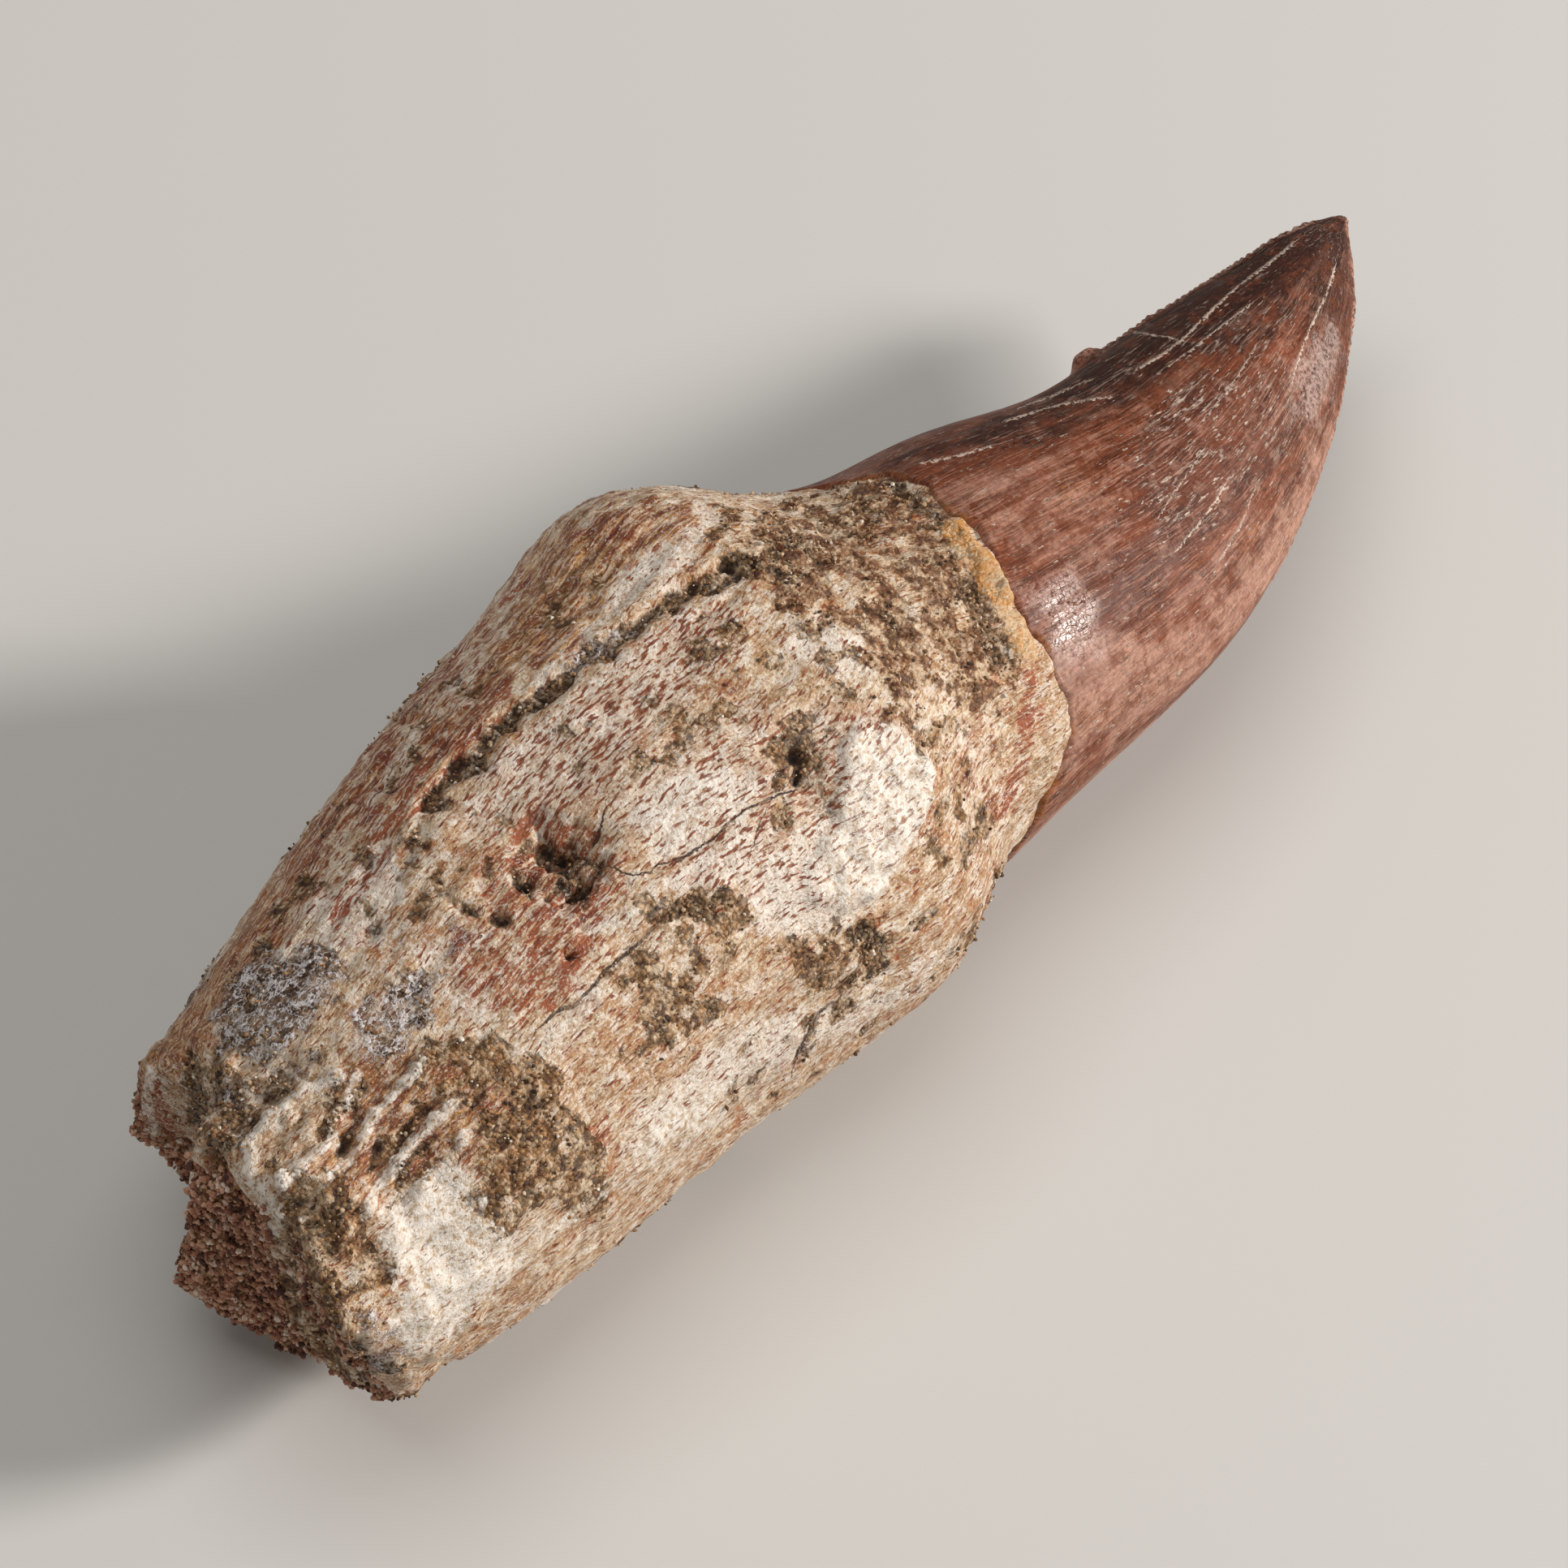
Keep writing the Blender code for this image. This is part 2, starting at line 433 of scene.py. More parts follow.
def draw_marks(marks: dict[Zone, Sequence[Mark]], places: np.ndarray, ragged: np.ndarray,
               facing: np.ndarray, uneven: float = 0.8) -> tuple[dict[Zone, np.ndarray], np.ndarray]:
    """Draws marks on a skin.

    Args:
        marks: The marks of each zone.
        places: Where the skin's points lie on the sheet.
        ragged: Noise that makes the marks' edges and heights uneven.
        facing: 1 where the sheet shows the surface.
        uneven: How much the noise changes the heights.

    Returns:
        The amount of each zone at each point, and how far the marks lift each point.
    """
    zones, heights = {}, np.zeros(len(places))
    for zone, zone_marks in marks.items():
        zones[zone] = np.zeros(len(places))
        for mark in zone_marks:
            amount = mark.amount(places, ragged) * facing * mark.strength
            zones[zone] = np.maximum(zones[zone], amount)
            heights += mark.lift * amount * (1.0 + uneven * ragged)
    return zones, heights


def draw_lines(lines: Sequence[FineLine], places: np.ndarray, facing: np.ndarray,
               farthest: float = 40.0, slope: float = 3.0,
               shown_from: float = 0.3) -> tuple[dict[str, np.ndarray], np.ndarray]:
    """Draws fine lines on a skin.

    Args:
        lines: The lines.
        places: Where the skin's points lie on the sheet.
        facing: 1 where the sheet shows the surface.
        farthest: The largest distance that is told apart, in sheet units.
        slope: How far a line's slopes reach past it, in sheet units.
        shown_from: How much a surface has to face the sheet to show a line.

    Returns:
        The distance of each point to each line by name, and how far the lines lift each point.
    """
    gaps, heights = {}, np.zeros(len(places))
    for line in lines:
        signed = distance_to_line(places, line.points)
        gaps[line.name] = np.where(facing > shown_from, np.clip(signed, -farthest, farthest), farthest)
        heights -= line.depth * smooth(line.width + slope - np.abs(signed), 0.0, line.width) * facing
    return gaps, heights


class Axis:
    """The tooth's middle line and half sizes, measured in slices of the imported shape."""

    rolled_radius = 13.0
    slice_length = 1.0
    sound_from = -37.0
    smallest_half = 0.9

    def __init__(self) -> None:
        """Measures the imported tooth."""
        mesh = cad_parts[NODE].data
        corners = np.empty(len(mesh.vertices) * 3)
        mesh.vertices.foreach_get("co", corners)
        corners = corners.reshape(-1, 3) / MM
        self.x = np.arange(self.sound_from, corners[:, 0].max(), self.slice_length)
        lows, highs = [], []
        for place in self.x:
            near = corners[np.abs(corners[:, 0] - place) < 1.5 * self.slice_length]
            lows.append(near[:, 1:].min(0))
            highs.append(near[:, 1:].max(0))
        middle = (np.array(lows) + np.array(highs)) / 2
        half = (np.array(highs) - np.array(lows)) / 2
        self.middle = [self.evened(middle[:, k]) for k in range(2)]
        self.half = [np.maximum(self.evened(half[:, k]), self.smallest_half) for k in range(2)]

    @staticmethod
    def evened(values: np.ndarray) -> np.ndarray:
        """The values with each replaced by the average of those around it."""
        weights = np.array([1, 2, 3, 4, 3, 2, 1]) / 16
        return np.convolve(np.pad(values, 3, mode="edge"), weights, mode="valid")

    def straightened(self, points: np.ndarray) -> np.ndarray:
        """Each point's place on a straight round tooth of one radius, so that grain runs along it."""
        along = points[:, 0]
        rolled = [along]
        for k in range(2):
            off = points[:, k + 1] - np.interp(along, self.x, self.middle[k])
            rolled.append(self.rolled_radius * off / np.interp(along, self.x, self.half[k]))
        return np.stack(rolled, 1)

    def angle(self, points: np.ndarray) -> np.ndarray:
        """Each point's angle round the middle line in degrees, from +Y over the top."""
        rolled = self.straightened(points)
        return np.degrees(np.arctan2(rolled[:, 2], rolled[:, 1])) % 360.0


AXIS = Axis()


@dataclass(frozen=True)
class Margin:
    """The enamel's edge round the tooth: where it lies at each angle from +Y over the top."""

    angles: tuple[float, ...] = (
        0, 25, 40, 58, 73, 85, 90, 96, 106, 115, 122, 130, 135, 145, 158, 167, 180, 200, 270, 330)
    places: tuple[float, ...] = (
        3.8, 5.0, 8.5, 11.4, 11.5, 10.6, 10.8, 10.8, 10.0, 9.2, 8.8, 8.3, 8.5, 8.1, 7.8, 7.0, 4.6, 2.8,
        3.2, 3.4)

    def beyond(self, points: np.ndarray) -> np.ndarray:
        """How far past the edge each point is, towards the tip."""
        edge = np.interp(AXIS.angle(points), self.angles, self.places, period=360.0)
        return points[:, 0] - edge


MARGIN = Margin()


# Fine meshes


def field_of(points: np.ndarray, size: "float | tuple", octaves: int, seed: float) -> np.ndarray:
    """Layered noise at each point, about -1 to 1.

    Args:
        points: Rows of three coordinates.
        size: A blotch's size, as one number or along each axis.
        octaves: Number of layers, each half as large as the one before.
        seed: Shift that makes one field unlike another.

    Returns:
        One number for each point.
    """
    scaled = (points / np.array(size) + seed).tolist()
    return np.array([noise.fractal(p, 1.0, 2.0, octaves) for p in scaled])


def dressed(mesh: bpy.types.Mesh, name: str, material: bpy.types.Material) -> bpy.types.Object:
    """Puts a mesh in the scene as an object with that name and that only material."""
    mesh.materials.clear()
    mesh.materials.append(material)
    piece = bpy.data.objects.new(name, mesh)
    bpy.context.scene.collection.objects.link(piece)
    return piece


class Skin:
    """A fine closed copy of part of the tooth, shaped by moving its points along their normals."""

    weld_distance = 1e-6

    def __init__(self, name: str, keep_from: float, keep_to: float, cell: float, passes: int) -> None:
        """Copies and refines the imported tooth.

        Args:
            name: The piece's name.
            keep_from: The lowest x to keep.
            keep_to: The highest x to keep.
            cell: Size of the new faces.
            passes: How often the new surface is smoothed.
        """
        self.name = name
        bm = bmesh.new()
        bm.from_mesh(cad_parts[NODE].data)
        bmesh.ops.remove_doubles(bm, verts=bm.verts, dist=self.weld_distance)
        bmesh.ops.scale(bm, vec=(1 / MM,) * 3, verts=bm.verts)
        for place, away in ((keep_from, -1.0), (keep_to, 1.0)):
            self.slice(bm, place, away)
        coarse = bpy.data.meshes.new(name + "_coarse")
        bm.to_mesh(coarse)
        bm.free()
        self.mesh = self.remeshed(coarse, cell)
        bm = bmesh.new()
        bm.from_mesh(self.mesh)
        every_axis = {f"use_axis_{axis}": True for axis in "xyz"}
        for _ in range(passes):
            bmesh.ops.smooth_vert(bm, verts=bm.verts, factor=0.5, **every_axis)
        bm.to_mesh(self.mesh)
        bm.free()
        self.refresh()

    @staticmethod
    def slice(bm: bmesh.types.BMesh, place: float, away: float) -> None:
        """Cuts off what lies past x = place in the direction away, and closes the cut."""
        geometry = [*bm.verts, *bm.edges, *bm.faces]
        plane = {"plane_co": (place, 0, 0), "plane_no": (away, 0, 0)}
        cut = bmesh.ops.bisect_plane(bm, geom=geometry, clear_outer=True, **plane)["geom_cut"]
        edges = [part for part in cut if isinstance(part, bmesh.types.BMEdge)]
        if edges:
            bmesh.ops.holes_fill(bm, edges=edges, sides=0)

    @staticmethod
    def remeshed(coarse: bpy.types.Mesh, cell: float) -> bpy.types.Mesh:
        """The mesh again with even square faces of side cell."""
        holder = bpy.data.objects.new(coarse.name, coarse)
        bpy.context.scene.collection.objects.link(holder)
        modifier = holder.modifiers.new("even faces", "REMESH")
        modifier.mode = "VOXEL"
        modifier.voxel_size = cell
        modifier.adaptivity = 0.0
        graph = bpy.context.evaluated_depsgraph_get()
        fine = bpy.data.meshes.new_from_object(holder.evaluated_get(graph))
        bpy.data.objects.remove(holder)
        bpy.data.meshes.remove(coarse)
        return fine

    def refresh(self) -> None:
        """Reads the points, normals and edges again after the mesh has changed."""
        count = len(self.mesh.vertices)
        self.points = np.empty(count * 3)
        self.mesh.vertices.foreach_get("co", self.points)
        self.points = self.points.reshape(-1, 3)
        self.mesh.update()
        self.normals = np.empty(count * 3)
        self.mesh.vertex_normals.foreach_get("vector", self.normals)
        self.normals = self.normals.reshape(-1, 3)
        self.edges = np.empty(len(self.mesh.edges) * 2, int)
        self.mesh.edges.foreach_get("vertices", self.edges)
        self.edges = self.edges.reshape(-1, 2)

    def move_to(self, points: np.ndarray) -> None:
        """Moves each point to a new place."""
        self.mesh.vertices.foreach_set("co", points.ravel())
        self.refresh()

    def raise_by(self, heights: np.ndarray) -> None:
        """Moves each point along its normal, and never below the ground."""
        moved = self.points + self.normals * heights[:, None]
        moved[:, 2] = np.maximum(moved[:, 2], LOWEST)
        self.move_to(moved)

    def blurred(self, values: np.ndarray, passes: int) -> np.ndarray:
        """The values averaged with their neighbours, passes times."""
        ends, starts = self.edges.T
        count = len(values)
        share = np.bincount(ends, minlength=count) + np.bincount(starts, minlength=count)
        for _ in range(passes):
            total = np.bincount(ends, values[starts], count) + np.bincount(starts, values[ends], count)
            values = 0.5 * values + 0.5 * total / share
        return values

    def around(self, passes: int) -> np.ndarray:
        """Each point's place averaged with its neighbours', passes times."""
        return np.stack([self.blurred(self.points[:, k], passes) for k in range(3)], 1)

    def round_off(self, amount: np.ndarray, passes: int) -> None:
        """Rounds the skin's edges where amount is 1, more with more passes."""
        self.move_to(self.points + (self.around(passes) - self.points) * amount[:, None])

    def hollows(self, passes: int) -> np.ndarray:
        """How deep each point lies under the surface around it, positive in hollows."""
        return ((self.around(passes) - self.points) * self.normals).sum(1)

    def carry(self, name: str, values: np.ndarray) -> None:
        """Stores a number or a vector at each point of the mesh."""
        kind, entry = ("FLOAT", "value") if values.ndim == 1 else ("FLOAT_VECTOR", "vector")
        self.mesh.attributes.new(name, kind, "POINT").data.foreach_set(entry, values.ravel())

    def place_in_scene(self, material: bpy.types.Material) -> bpy.types.Object:
        """Turns the skin into a finished piece of the tooth.

        Args:
            material: The piece's finish.

        Returns:
            The new object, in metres.
        """
        self.mesh.transform(Matrix.Scale(MM, 4))
        self.mesh.name = self.name
        self.mesh.shade_smooth()
        return dressed(self.mesh, self.name, material)


# Root


ROOT_MARKS: dict[Zone, tuple[Mark, ...]] = {
    Zone.CREAM: (
        Area(((870, 608), (882, 640), (845, 700), (790, 733), (720, 790), (660, 852), (640, 845),
              (700, 775), (740, 735), (775, 690), (820, 640)), strength=0.9),
        Area(((650, 660), (685, 640), (695, 655), (650, 720), (632, 725)), strength=0.9, soft=8, ragged=6),
        Area(((1038, 905), (1060, 888), (1112, 893), (1142, 930), (1148, 980), (1130, 1022), (1110, 1062),
              (1082, 1110), (1042, 1140), (990, 1160), (940, 1150), (915, 1110), (930, 1070), (962, 1040),
              (992, 1018), (1022, 980), (1028, 940)), ragged=8),
        Area(((770, 1010), (820, 955), (880, 940), (940, 962), (925, 1000), (860, 1045), (800, 1062)),
             strength=0.9),
        Area(((790, 1095), (850, 1062), (930, 1015), (960, 1040), (905, 1085), (850, 1100))),
        Area(((1205, 1140), (1150, 1200), (1085, 1250), (1000, 1300), (850, 1385), (700, 1490), (600, 1575),
              (520, 1660), (480, 1645), (505, 1560), (600, 1525), (690, 1510), (760, 1450), (790, 1370),
              (860, 1310), (930, 1250), (1060, 1232), (1140, 1185)), strength=0.9),
        Area(((372, 1130), (430, 1060), (490, 1045), (505, 1095), (470, 1160), (400, 1185)), strength=0.8),
        Area(((480, 1165), (540, 1150), (600, 1200), (640, 1260), (700, 1290), (680, 1320), (600, 1290),
              (520, 1215)), strength=0.5),
        Area(((970, 770), (1020, 760), (1075, 775), (1080, 840), (1040, 845), (1000, 825), (960, 815)),
             strength=0.9),
        Area(((470, 1480), (520, 1440), (570, 1420), (600, 1440), (560, 1490), (590, 1530), (520, 1570),
              (470, 1560), (455, 1520)), strength=0.9),
        Stroke(((905, 722), (840, 765), (770, 815), (700, 870), (650, 920), (600, 965)),
               strength=0.5, width=26),
        Stroke(((740, 1215), (700, 1262), (660, 1300)), strength=0.8, ragged=8, width=30),
        Stroke(((740, 1135), (800, 1120)), strength=0.8, ragged=8, width=26),
        Stroke(((610, 790), (560, 840), (500, 920), (450, 1000)), strength=0.9, soft=6, ragged=12),
        Stroke(((560, 770), (500, 850), (430, 950), (370, 1050)), strength=0.8, soft=5, ragged=10, width=8),
        Stroke(((1190, 900), (1205, 960), (1200, 1040)), strength=0.6, soft=10, width=36),
    ),
    Zone.OCHRE: (
        Area(((600, 700), (690, 640), (790, 620), (870, 625), (840, 660), (770, 690), (750, 740),
              (700, 800), (620, 850), (560, 880), (590, 800), (640, 740), (640, 720)),
             strength=0.9, soft=20, ragged=26),
        Area(((620, 680), (600, 760), (530, 860), (470, 950), (420, 1030), (370, 1120), (310, 1230),
              (230, 1300), (130, 1420), (120, 1330), (260, 1120), (400, 900), (540, 740)),
             strength=0.9, soft=18, ragged=26),
        Area(((520, 860), (600, 850), (620, 870), (560, 920), (500, 950)), strength=0.7, ragged=22),
        Stroke(((905, 640), (880, 665), (855, 700), (870, 712)), strength=0.9, soft=9, width=18),
        Stroke(((500, 1330), (475, 1345), (450, 1385), (440, 1410)),
               strength=0.9, soft=8, ragged=12, width=20),
        Area(((400, 1360), (450, 1300), (520, 1290), (600, 1290), (660, 1340), (700, 1400), (620, 1480),
              (540, 1440), (440, 1480), (380, 1440)), strength=0.8, ragged=24),
        Area(((360, 1540), (420, 1500), (450, 1540), (480, 1600), (440, 1620), (400, 1700), (370, 1640)),
             strength=0.5, ragged=24),
        Area(((1030, 640), (1120, 600), (1170, 640), (1130, 680), (1060, 690)),
             strength=0.5, soft=20, ragged=26),
        Area(((830, 850), (900, 830), (960, 860), (900, 900), (840, 900)),
             strength=0.4, soft=20, ragged=26),
        Stroke(((640, 1050), (665, 1090), (690, 1130), (720, 1120)), strength=0.7, soft=9, width=26),
        Area(((1190, 880), (1230, 870), (1240, 960), (1210, 1010), (1190, 950)), strength=0.4, ragged=22),
        Area(((1130, 860), (1210, 870), (1250, 840), (1245, 980), (1220, 1080), (1190, 1060), (1160, 950)),
             strength=0.3, soft=16, ragged=26),
    ),
    Zone.RUST: (
        Stroke(((1262, 830), (1268, 870), (1262, 930), (1240, 1000)),
               strength=0.9, soft=8, ragged=12, width=20),
        Area(((955, 1165), (1040, 1150), (1075, 1122), (1110, 1112), (1148, 1118), (1122, 1160),
              (1100, 1202), (1060, 1225), (1000, 1218), (958, 1198)), strength=0.35),
        Area(((560, 1150), (620, 1120), (690, 1110), (742, 1140), (732, 1192), (690, 1240), (640, 1262),
              (600, 1240), (560, 1200)), strength=0.75),
        Area(((600, 1020), (680, 1000), (762, 1030), (772, 1090), (742, 1140), (690, 1160), (620, 1150),
              (590, 1090)), strength=0.7, lift=-0.15),
        Area(((160, 1335), (200, 1320), (228, 1400), (240, 1442), (162, 1428)), strength=0.9),
        Area(((405, 1495), (440, 1490), (452, 1530), (420, 1545)), strength=0.9, soft=8, ragged=8),
        Area(((722, 1388), (755, 1385), (760, 1415), (730, 1415)), strength=0.8, soft=8, ragged=8),
        Area(((690, 645), (760, 640), (800, 625), (790, 660), (730, 690), (690, 668)), strength=0.45),
        Area(((590, 705), (640, 700), (660, 715), (600, 790), (540, 850), (480, 930), (440, 1000),
              (400, 1060), (330, 1180), (290, 1190), (360, 1050), (450, 900), (530, 790)), strength=0.6),
        Stroke(((655, 1085), (672, 1098), (690, 1125), (705, 1135)), lift=0.1, soft=5, ragged=6, width=14),
        Stroke(((620, 850), (560, 905), (500, 975), (450, 1050), (420, 1120)),
               strength=0.9, soft=12, ragged=22, width=40),
    ),
    Zone.PORED: (
        Area(((600, 960), (700, 862), (800, 775), (885, 735), (925, 745), (900, 800), (800, 900),
              (740, 980), (680, 1000), (600, 1020), (560, 1000))),
        Area(((740, 980), (840, 900), (950, 880), (1080, 870), (1130, 960), (1100, 1060), (950, 1130),
              (850, 1080), (770, 1050)), strength=0.55),
        Area(((560, 730), (640, 790), (560, 900), (470, 1000), (380, 1150), (300, 1180), (400, 950)),
             strength=0.4),
    ),
    Zone.DIRT: (
        Area(((845, 1085), (900, 1098), (932, 1130), (905, 1180), (892, 1250), (860, 1300), (800, 1322),
              (765, 1290), (775, 1232), (762, 1190), (800, 1150), (822, 1112)), strength=0.75, lift=0.12),
        Area(((523, 1278), (600, 1275), (689, 1316), (718, 1382), (750, 1432), (743, 1498), (669, 1486),
              (627, 1515), (586, 1511), (565, 1473), (598, 1432), (586, 1382), (540, 1357), (515, 1316)),
             lift=0.15),
        Area(((950, 885), (1010, 872), (1042, 892), (1012, 930), (1030, 960), (1000, 1002), (970, 1022),
              (950, 1000), (965, 950), (940, 920)), strength=0.8, lift=-0.25),
        Area(((1140, 992), (1190, 985), (1215, 1020), (1200, 1062), (1165, 1075), (1145, 1040)),
             strength=0.7, lift=-0.1),
        Area(((835, 800), (890, 780), (918, 810), (900, 850), (860, 872), (830, 842)), strength=0.4),
        Area(((880, 628), (980, 628), (1000, 680), (960, 732), (915, 728), (890, 690), (872, 662)),
             strength=0.6, lift=0.1),
        Area(((985, 792), (1055, 790), (1055, 815), (1000, 822)), strength=0.7, lift=-0.1, ragged=12),
        Area(((350, 1455), (400, 1440), (430, 1470), (470, 1530), (492, 1560), (470, 1600), (438, 1640),
              (440, 1700), (400, 1690), (370, 1640), (350, 1580), (335, 1520)), strength=0.9, lift=0.1),
        Area(((690, 668), (738, 690), (755, 720), (715, 765), (672, 795), (628, 840), (610, 850),
              (640, 780), (655, 730)), strength=0.45, lift=-0.05),
        Stroke(((640, 800), (600, 830), (560, 862), (530, 890), (500, 925), (480, 965)),
               strength=0.7, lift=-0.2, width=20),
        Stroke(((431, 1380), (424, 1422), (417, 1455)),
               strength=0.9, lift=-0.3, soft=8, ragged=8, width=24),
        Stroke(((380, 1370), (345, 1405), (330, 1435)),
               strength=0.6, lift=-0.25, soft=8, ragged=8, width=22),
        Stroke(((520, 1368), (495, 1400), (460, 1428)),
               strength=0.8, lift=-0.25, soft=8, ragged=8, width=20),
        Stroke(((560, 1420), (510, 1455), (480, 1485)),
               strength=0.8, lift=-0.2, soft=8, ragged=8, width=18),
        Stroke(((1225, 1080), (1200, 1150), (1150, 1225), (1060, 1290)), strength=0.35, width=26),
        Stroke(((470, 1300), (430, 1330), (400, 1370)), strength=0.6, lift=-0.1, width=24),
        Stroke(((1020, 1005), (1018, 960), (1005, 925)), strength=0.6, soft=6, ragged=12, width=14),
        Area(((950, 1165), (1010, 1150), (1075, 1120), (1100, 1150), (1090, 1202), (1060, 1225),
              (1000, 1225), (955, 1205)), strength=0.8, lift=0.05),
        Stroke(((1020, 640), (1010, 690), (1040, 740)), strength=0.5, lift=-0.1, width=26),
        Stroke(((470, 1040), (440, 1075), (425, 1100)), strength=0.5, soft=8, ragged=14, width=16),
        Stroke(((370, 1090), (345, 1120), (330, 1150)), strength=0.6, soft=8, ragged=14, width=20),
        Area(((1085, 830), (1150, 862), (1190, 880), (1220, 960), (1235, 1060), (1205, 1060), (1180, 980),
              (1150, 930), (1110, 890)), strength=0.35),
        Area(((870, 770), (950, 745), (1060, 790), (1090, 860), (1040, 890), (950, 860), (880, 850)),
             strength=0.42),
        Area(((690, 900), (800, 850), (900, 860), (940, 900), (880, 950), (780, 975), (700, 960)),
             strength=0.3),
        Area(((870, 1230), (1000, 1230), (1150, 1180), (1130, 1260), (1000, 1340), (880, 1370)),
             strength=0.28),
        Area(((430, 1010), (520, 990), (580, 1060), (540, 1130), (450, 1140), (400, 1090)), strength=0.35),
        Area(((560, 1010), (620, 1000), (650, 1050), (600, 1090)), strength=0.4),
        Area(((760, 1100), (820, 1080), (860, 1110), (800, 1150)), strength=0.45),
    ),
    Zone.CRUST: (
        Area(((925, 652), (985, 612), (1080, 580), (1150, 600), (1190, 655), (1208, 700), (1238, 740),
              (1262, 800), (1262, 850), (1215, 872), (1150, 862), (1122, 900), (1095, 880), (1085, 822),
              (1050, 782), (1000, 762), (950, 742), (920, 702)), strength=0.85, lift=0.12),
    ),
    Zone.DARK: (
        Area(((232, 1300), (300, 1312), (360, 1300), (400, 1290), (420, 1322), (380, 1342), (330, 1382),
              (300, 1422), (272, 1432), (240, 1402), (222, 1352)), strength=0.7, lift=-0.1),
        Area(((270, 1200), (320, 1165), (390, 1160), (440, 1180), (420, 1230), (370, 1270), (330, 1310),
              (262, 1290)), strength=0.6, lift=-0.1),
        Area(((440, 1235), (500, 1195), (552, 1190), (552, 1240), (520, 1290), (470, 1320), (440, 1290)),
             strength=0.45),
        Area(((820, 1098), (880, 1105), (880, 1135), (835, 1138)), strength=0.9, lift=-0.25, ragged=12),
        Area(((1058, 1135), (1085, 1125), (1100, 1160), (1098, 1205), (1065, 1212)),
             strength=0.8, lift=-0.15),
        Stroke(((905, 700), (859, 720), (830, 735), (800, 757), (760, 787), (720, 815), (690, 838),
                (663, 858), (640, 875), (610, 905), (590, 930), (550, 960), (530, 985)),
               lift=-0.42, soft=7, ragged=9, width=22),
        Stroke(((530, 985), (515, 1020), (500, 1060), (475, 1120), (450, 1160), (427, 1185)),
               strength=0.6, lift=-0.22, soft=9, ragged=12, width=15),
        Stroke(((906, 736), (885, 746), (860, 760)), strength=0.8, lift=-0.2, soft=5, ragged=3, width=7),
        Stroke(((905, 695), (935, 680), (975, 665)), strength=0.8, lift=-0.3, width=22),
        Stroke(((975, 925), (990, 940), (980, 960)), strength=0.9, lift=-0.5, soft=6, ragged=5),
        Stroke(((510, 965), (560, 980), (540, 1010)), strength=0.5, width=18),
        Stroke(((640, 1330), (690, 1380), (700, 1430), (650, 1400)), strength=0.5, lift=-0.1, width=18),
        Stroke(((780, 1160), (765, 1185), (745, 1200)),
               strength=0.7, lift=-0.15, soft=6, ragged=5, width=14),
        Stroke(((440, 1655), (450, 1690), (490, 1690)), strength=0.8, lift=-0.1, width=20),
        Stroke(((1150, 1115), (1120, 1140), (1090, 1165)), strength=0.6, soft=8, ragged=14, width=16),
        Stroke(((1050, 1150), (1062, 1180), (1050, 1205)),
               strength=0.8, lift=-0.1, soft=8, ragged=14, width=18),
        Stroke(((668, 1042), (685, 1062), (700, 1070)), lift=-0.1, soft=7, ragged=10, width=20),
        Stroke(((700, 1048), (722, 1058), (738, 1068)), lift=-0.1, soft=5, ragged=8, width=13),
        Stroke(((690, 1092), (712, 1102), (722, 1116)), lift=-0.1, soft=6, ragged=8, width=17),
        Stroke(((628, 1066), (645, 1085), (650, 1098)),
               strength=0.9, lift=-0.1, soft=6, ragged=8, width=15),
        Stroke(((642, 1040), (655, 1030), (672, 1028)), strength=0.7, soft=5, ragged=6, width=9),
        Stroke(((560, 1110), (590, 1126), (625, 1136)), strength=0.8, soft=4, ragged=6, width=8),
        Stroke(((445, 1340), (415, 1372), (395, 1400)),
               strength=0.8, lift=-0.15, soft=6, ragged=8, width=16),
        Stroke(((470, 1415), (455, 1440), (420, 1470), (405, 1500)),
               strength=0.8, lift=-0.15, soft=6, ragged=8, width=14),
        Stroke(((540, 1400), (505, 1430), (490, 1460)),
               strength=0.7, lift=-0.1, soft=6, ragged=8, width=14),
        Stroke(((700, 905), (690, 925), (655, 945)), strength=0.35, soft=9, ragged=12, width=14),
        Stroke(((960, 640), (990, 660), (1000, 690)), strength=0.6, lift=-0.1, soft=7, ragged=12, width=14),
        Stroke(((1060, 745), (1090, 760), (1105, 790)),
               strength=0.6, lift=-0.1, soft=7, ragged=12, width=16),
        Stroke(((430, 990), (400, 1040), (370, 1090)),
               strength=0.4, lift=-0.1, soft=9, ragged=14, width=16),
        Stroke(((560, 835), (520, 870), (490, 910)), strength=0.5, lift=-0.1, soft=8, ragged=12, width=14),
        # Painted shadow over dark crust: a black line in the sunk crevice beside the amber rim.
        Stroke(((1105, 600), (1140, 632), (1168, 660), (1184, 698), (1200, 738), (1218, 782), (1230, 812)),
               strength=0.85, lift=-0.2, soft=8, width=26),
        Stroke(((1110, 835), (1128, 860), (1135, 900), (1130, 925)), strength=0.7, lift=-0.25, width=14),
        Stroke(((920, 672), (955, 700), (980, 720)), strength=0.6, lift=-0.1, width=24),
        Area(((350, 1490), (420, 1470), (450, 1560), (400, 1640), (370, 1580)), strength=0.35),
    ),
    Zone.BROKEN: (
        Area(((150, 1400), (200, 1410), (242, 1430), (275, 1440), (335, 1500), (350, 1560), (358, 1600),
              (380, 1662), (440, 1722), (430, 1760), (330, 1720), (200, 1660), (180, 1560), (140, 1450)),
             soft=10, ragged=12),
    ),
    Zone.CHALK: (
        Area(((290, 1200), (330, 1172), (380, 1165), (432, 1180), (415, 1222), (382, 1260), (350, 1300),
              (310, 1312), (270, 1290), (262, 1250)), lift=0.08),
        Area(((450, 1232), (500, 1200), (548, 1195), (542, 1242), (512, 1280), (480, 1312), (445, 1300),
              (430, 1262)), strength=0.85, lift=0.06),
        Area(((545, 1135), (598, 1130), (600, 1172), (560, 1180)), strength=0.7),
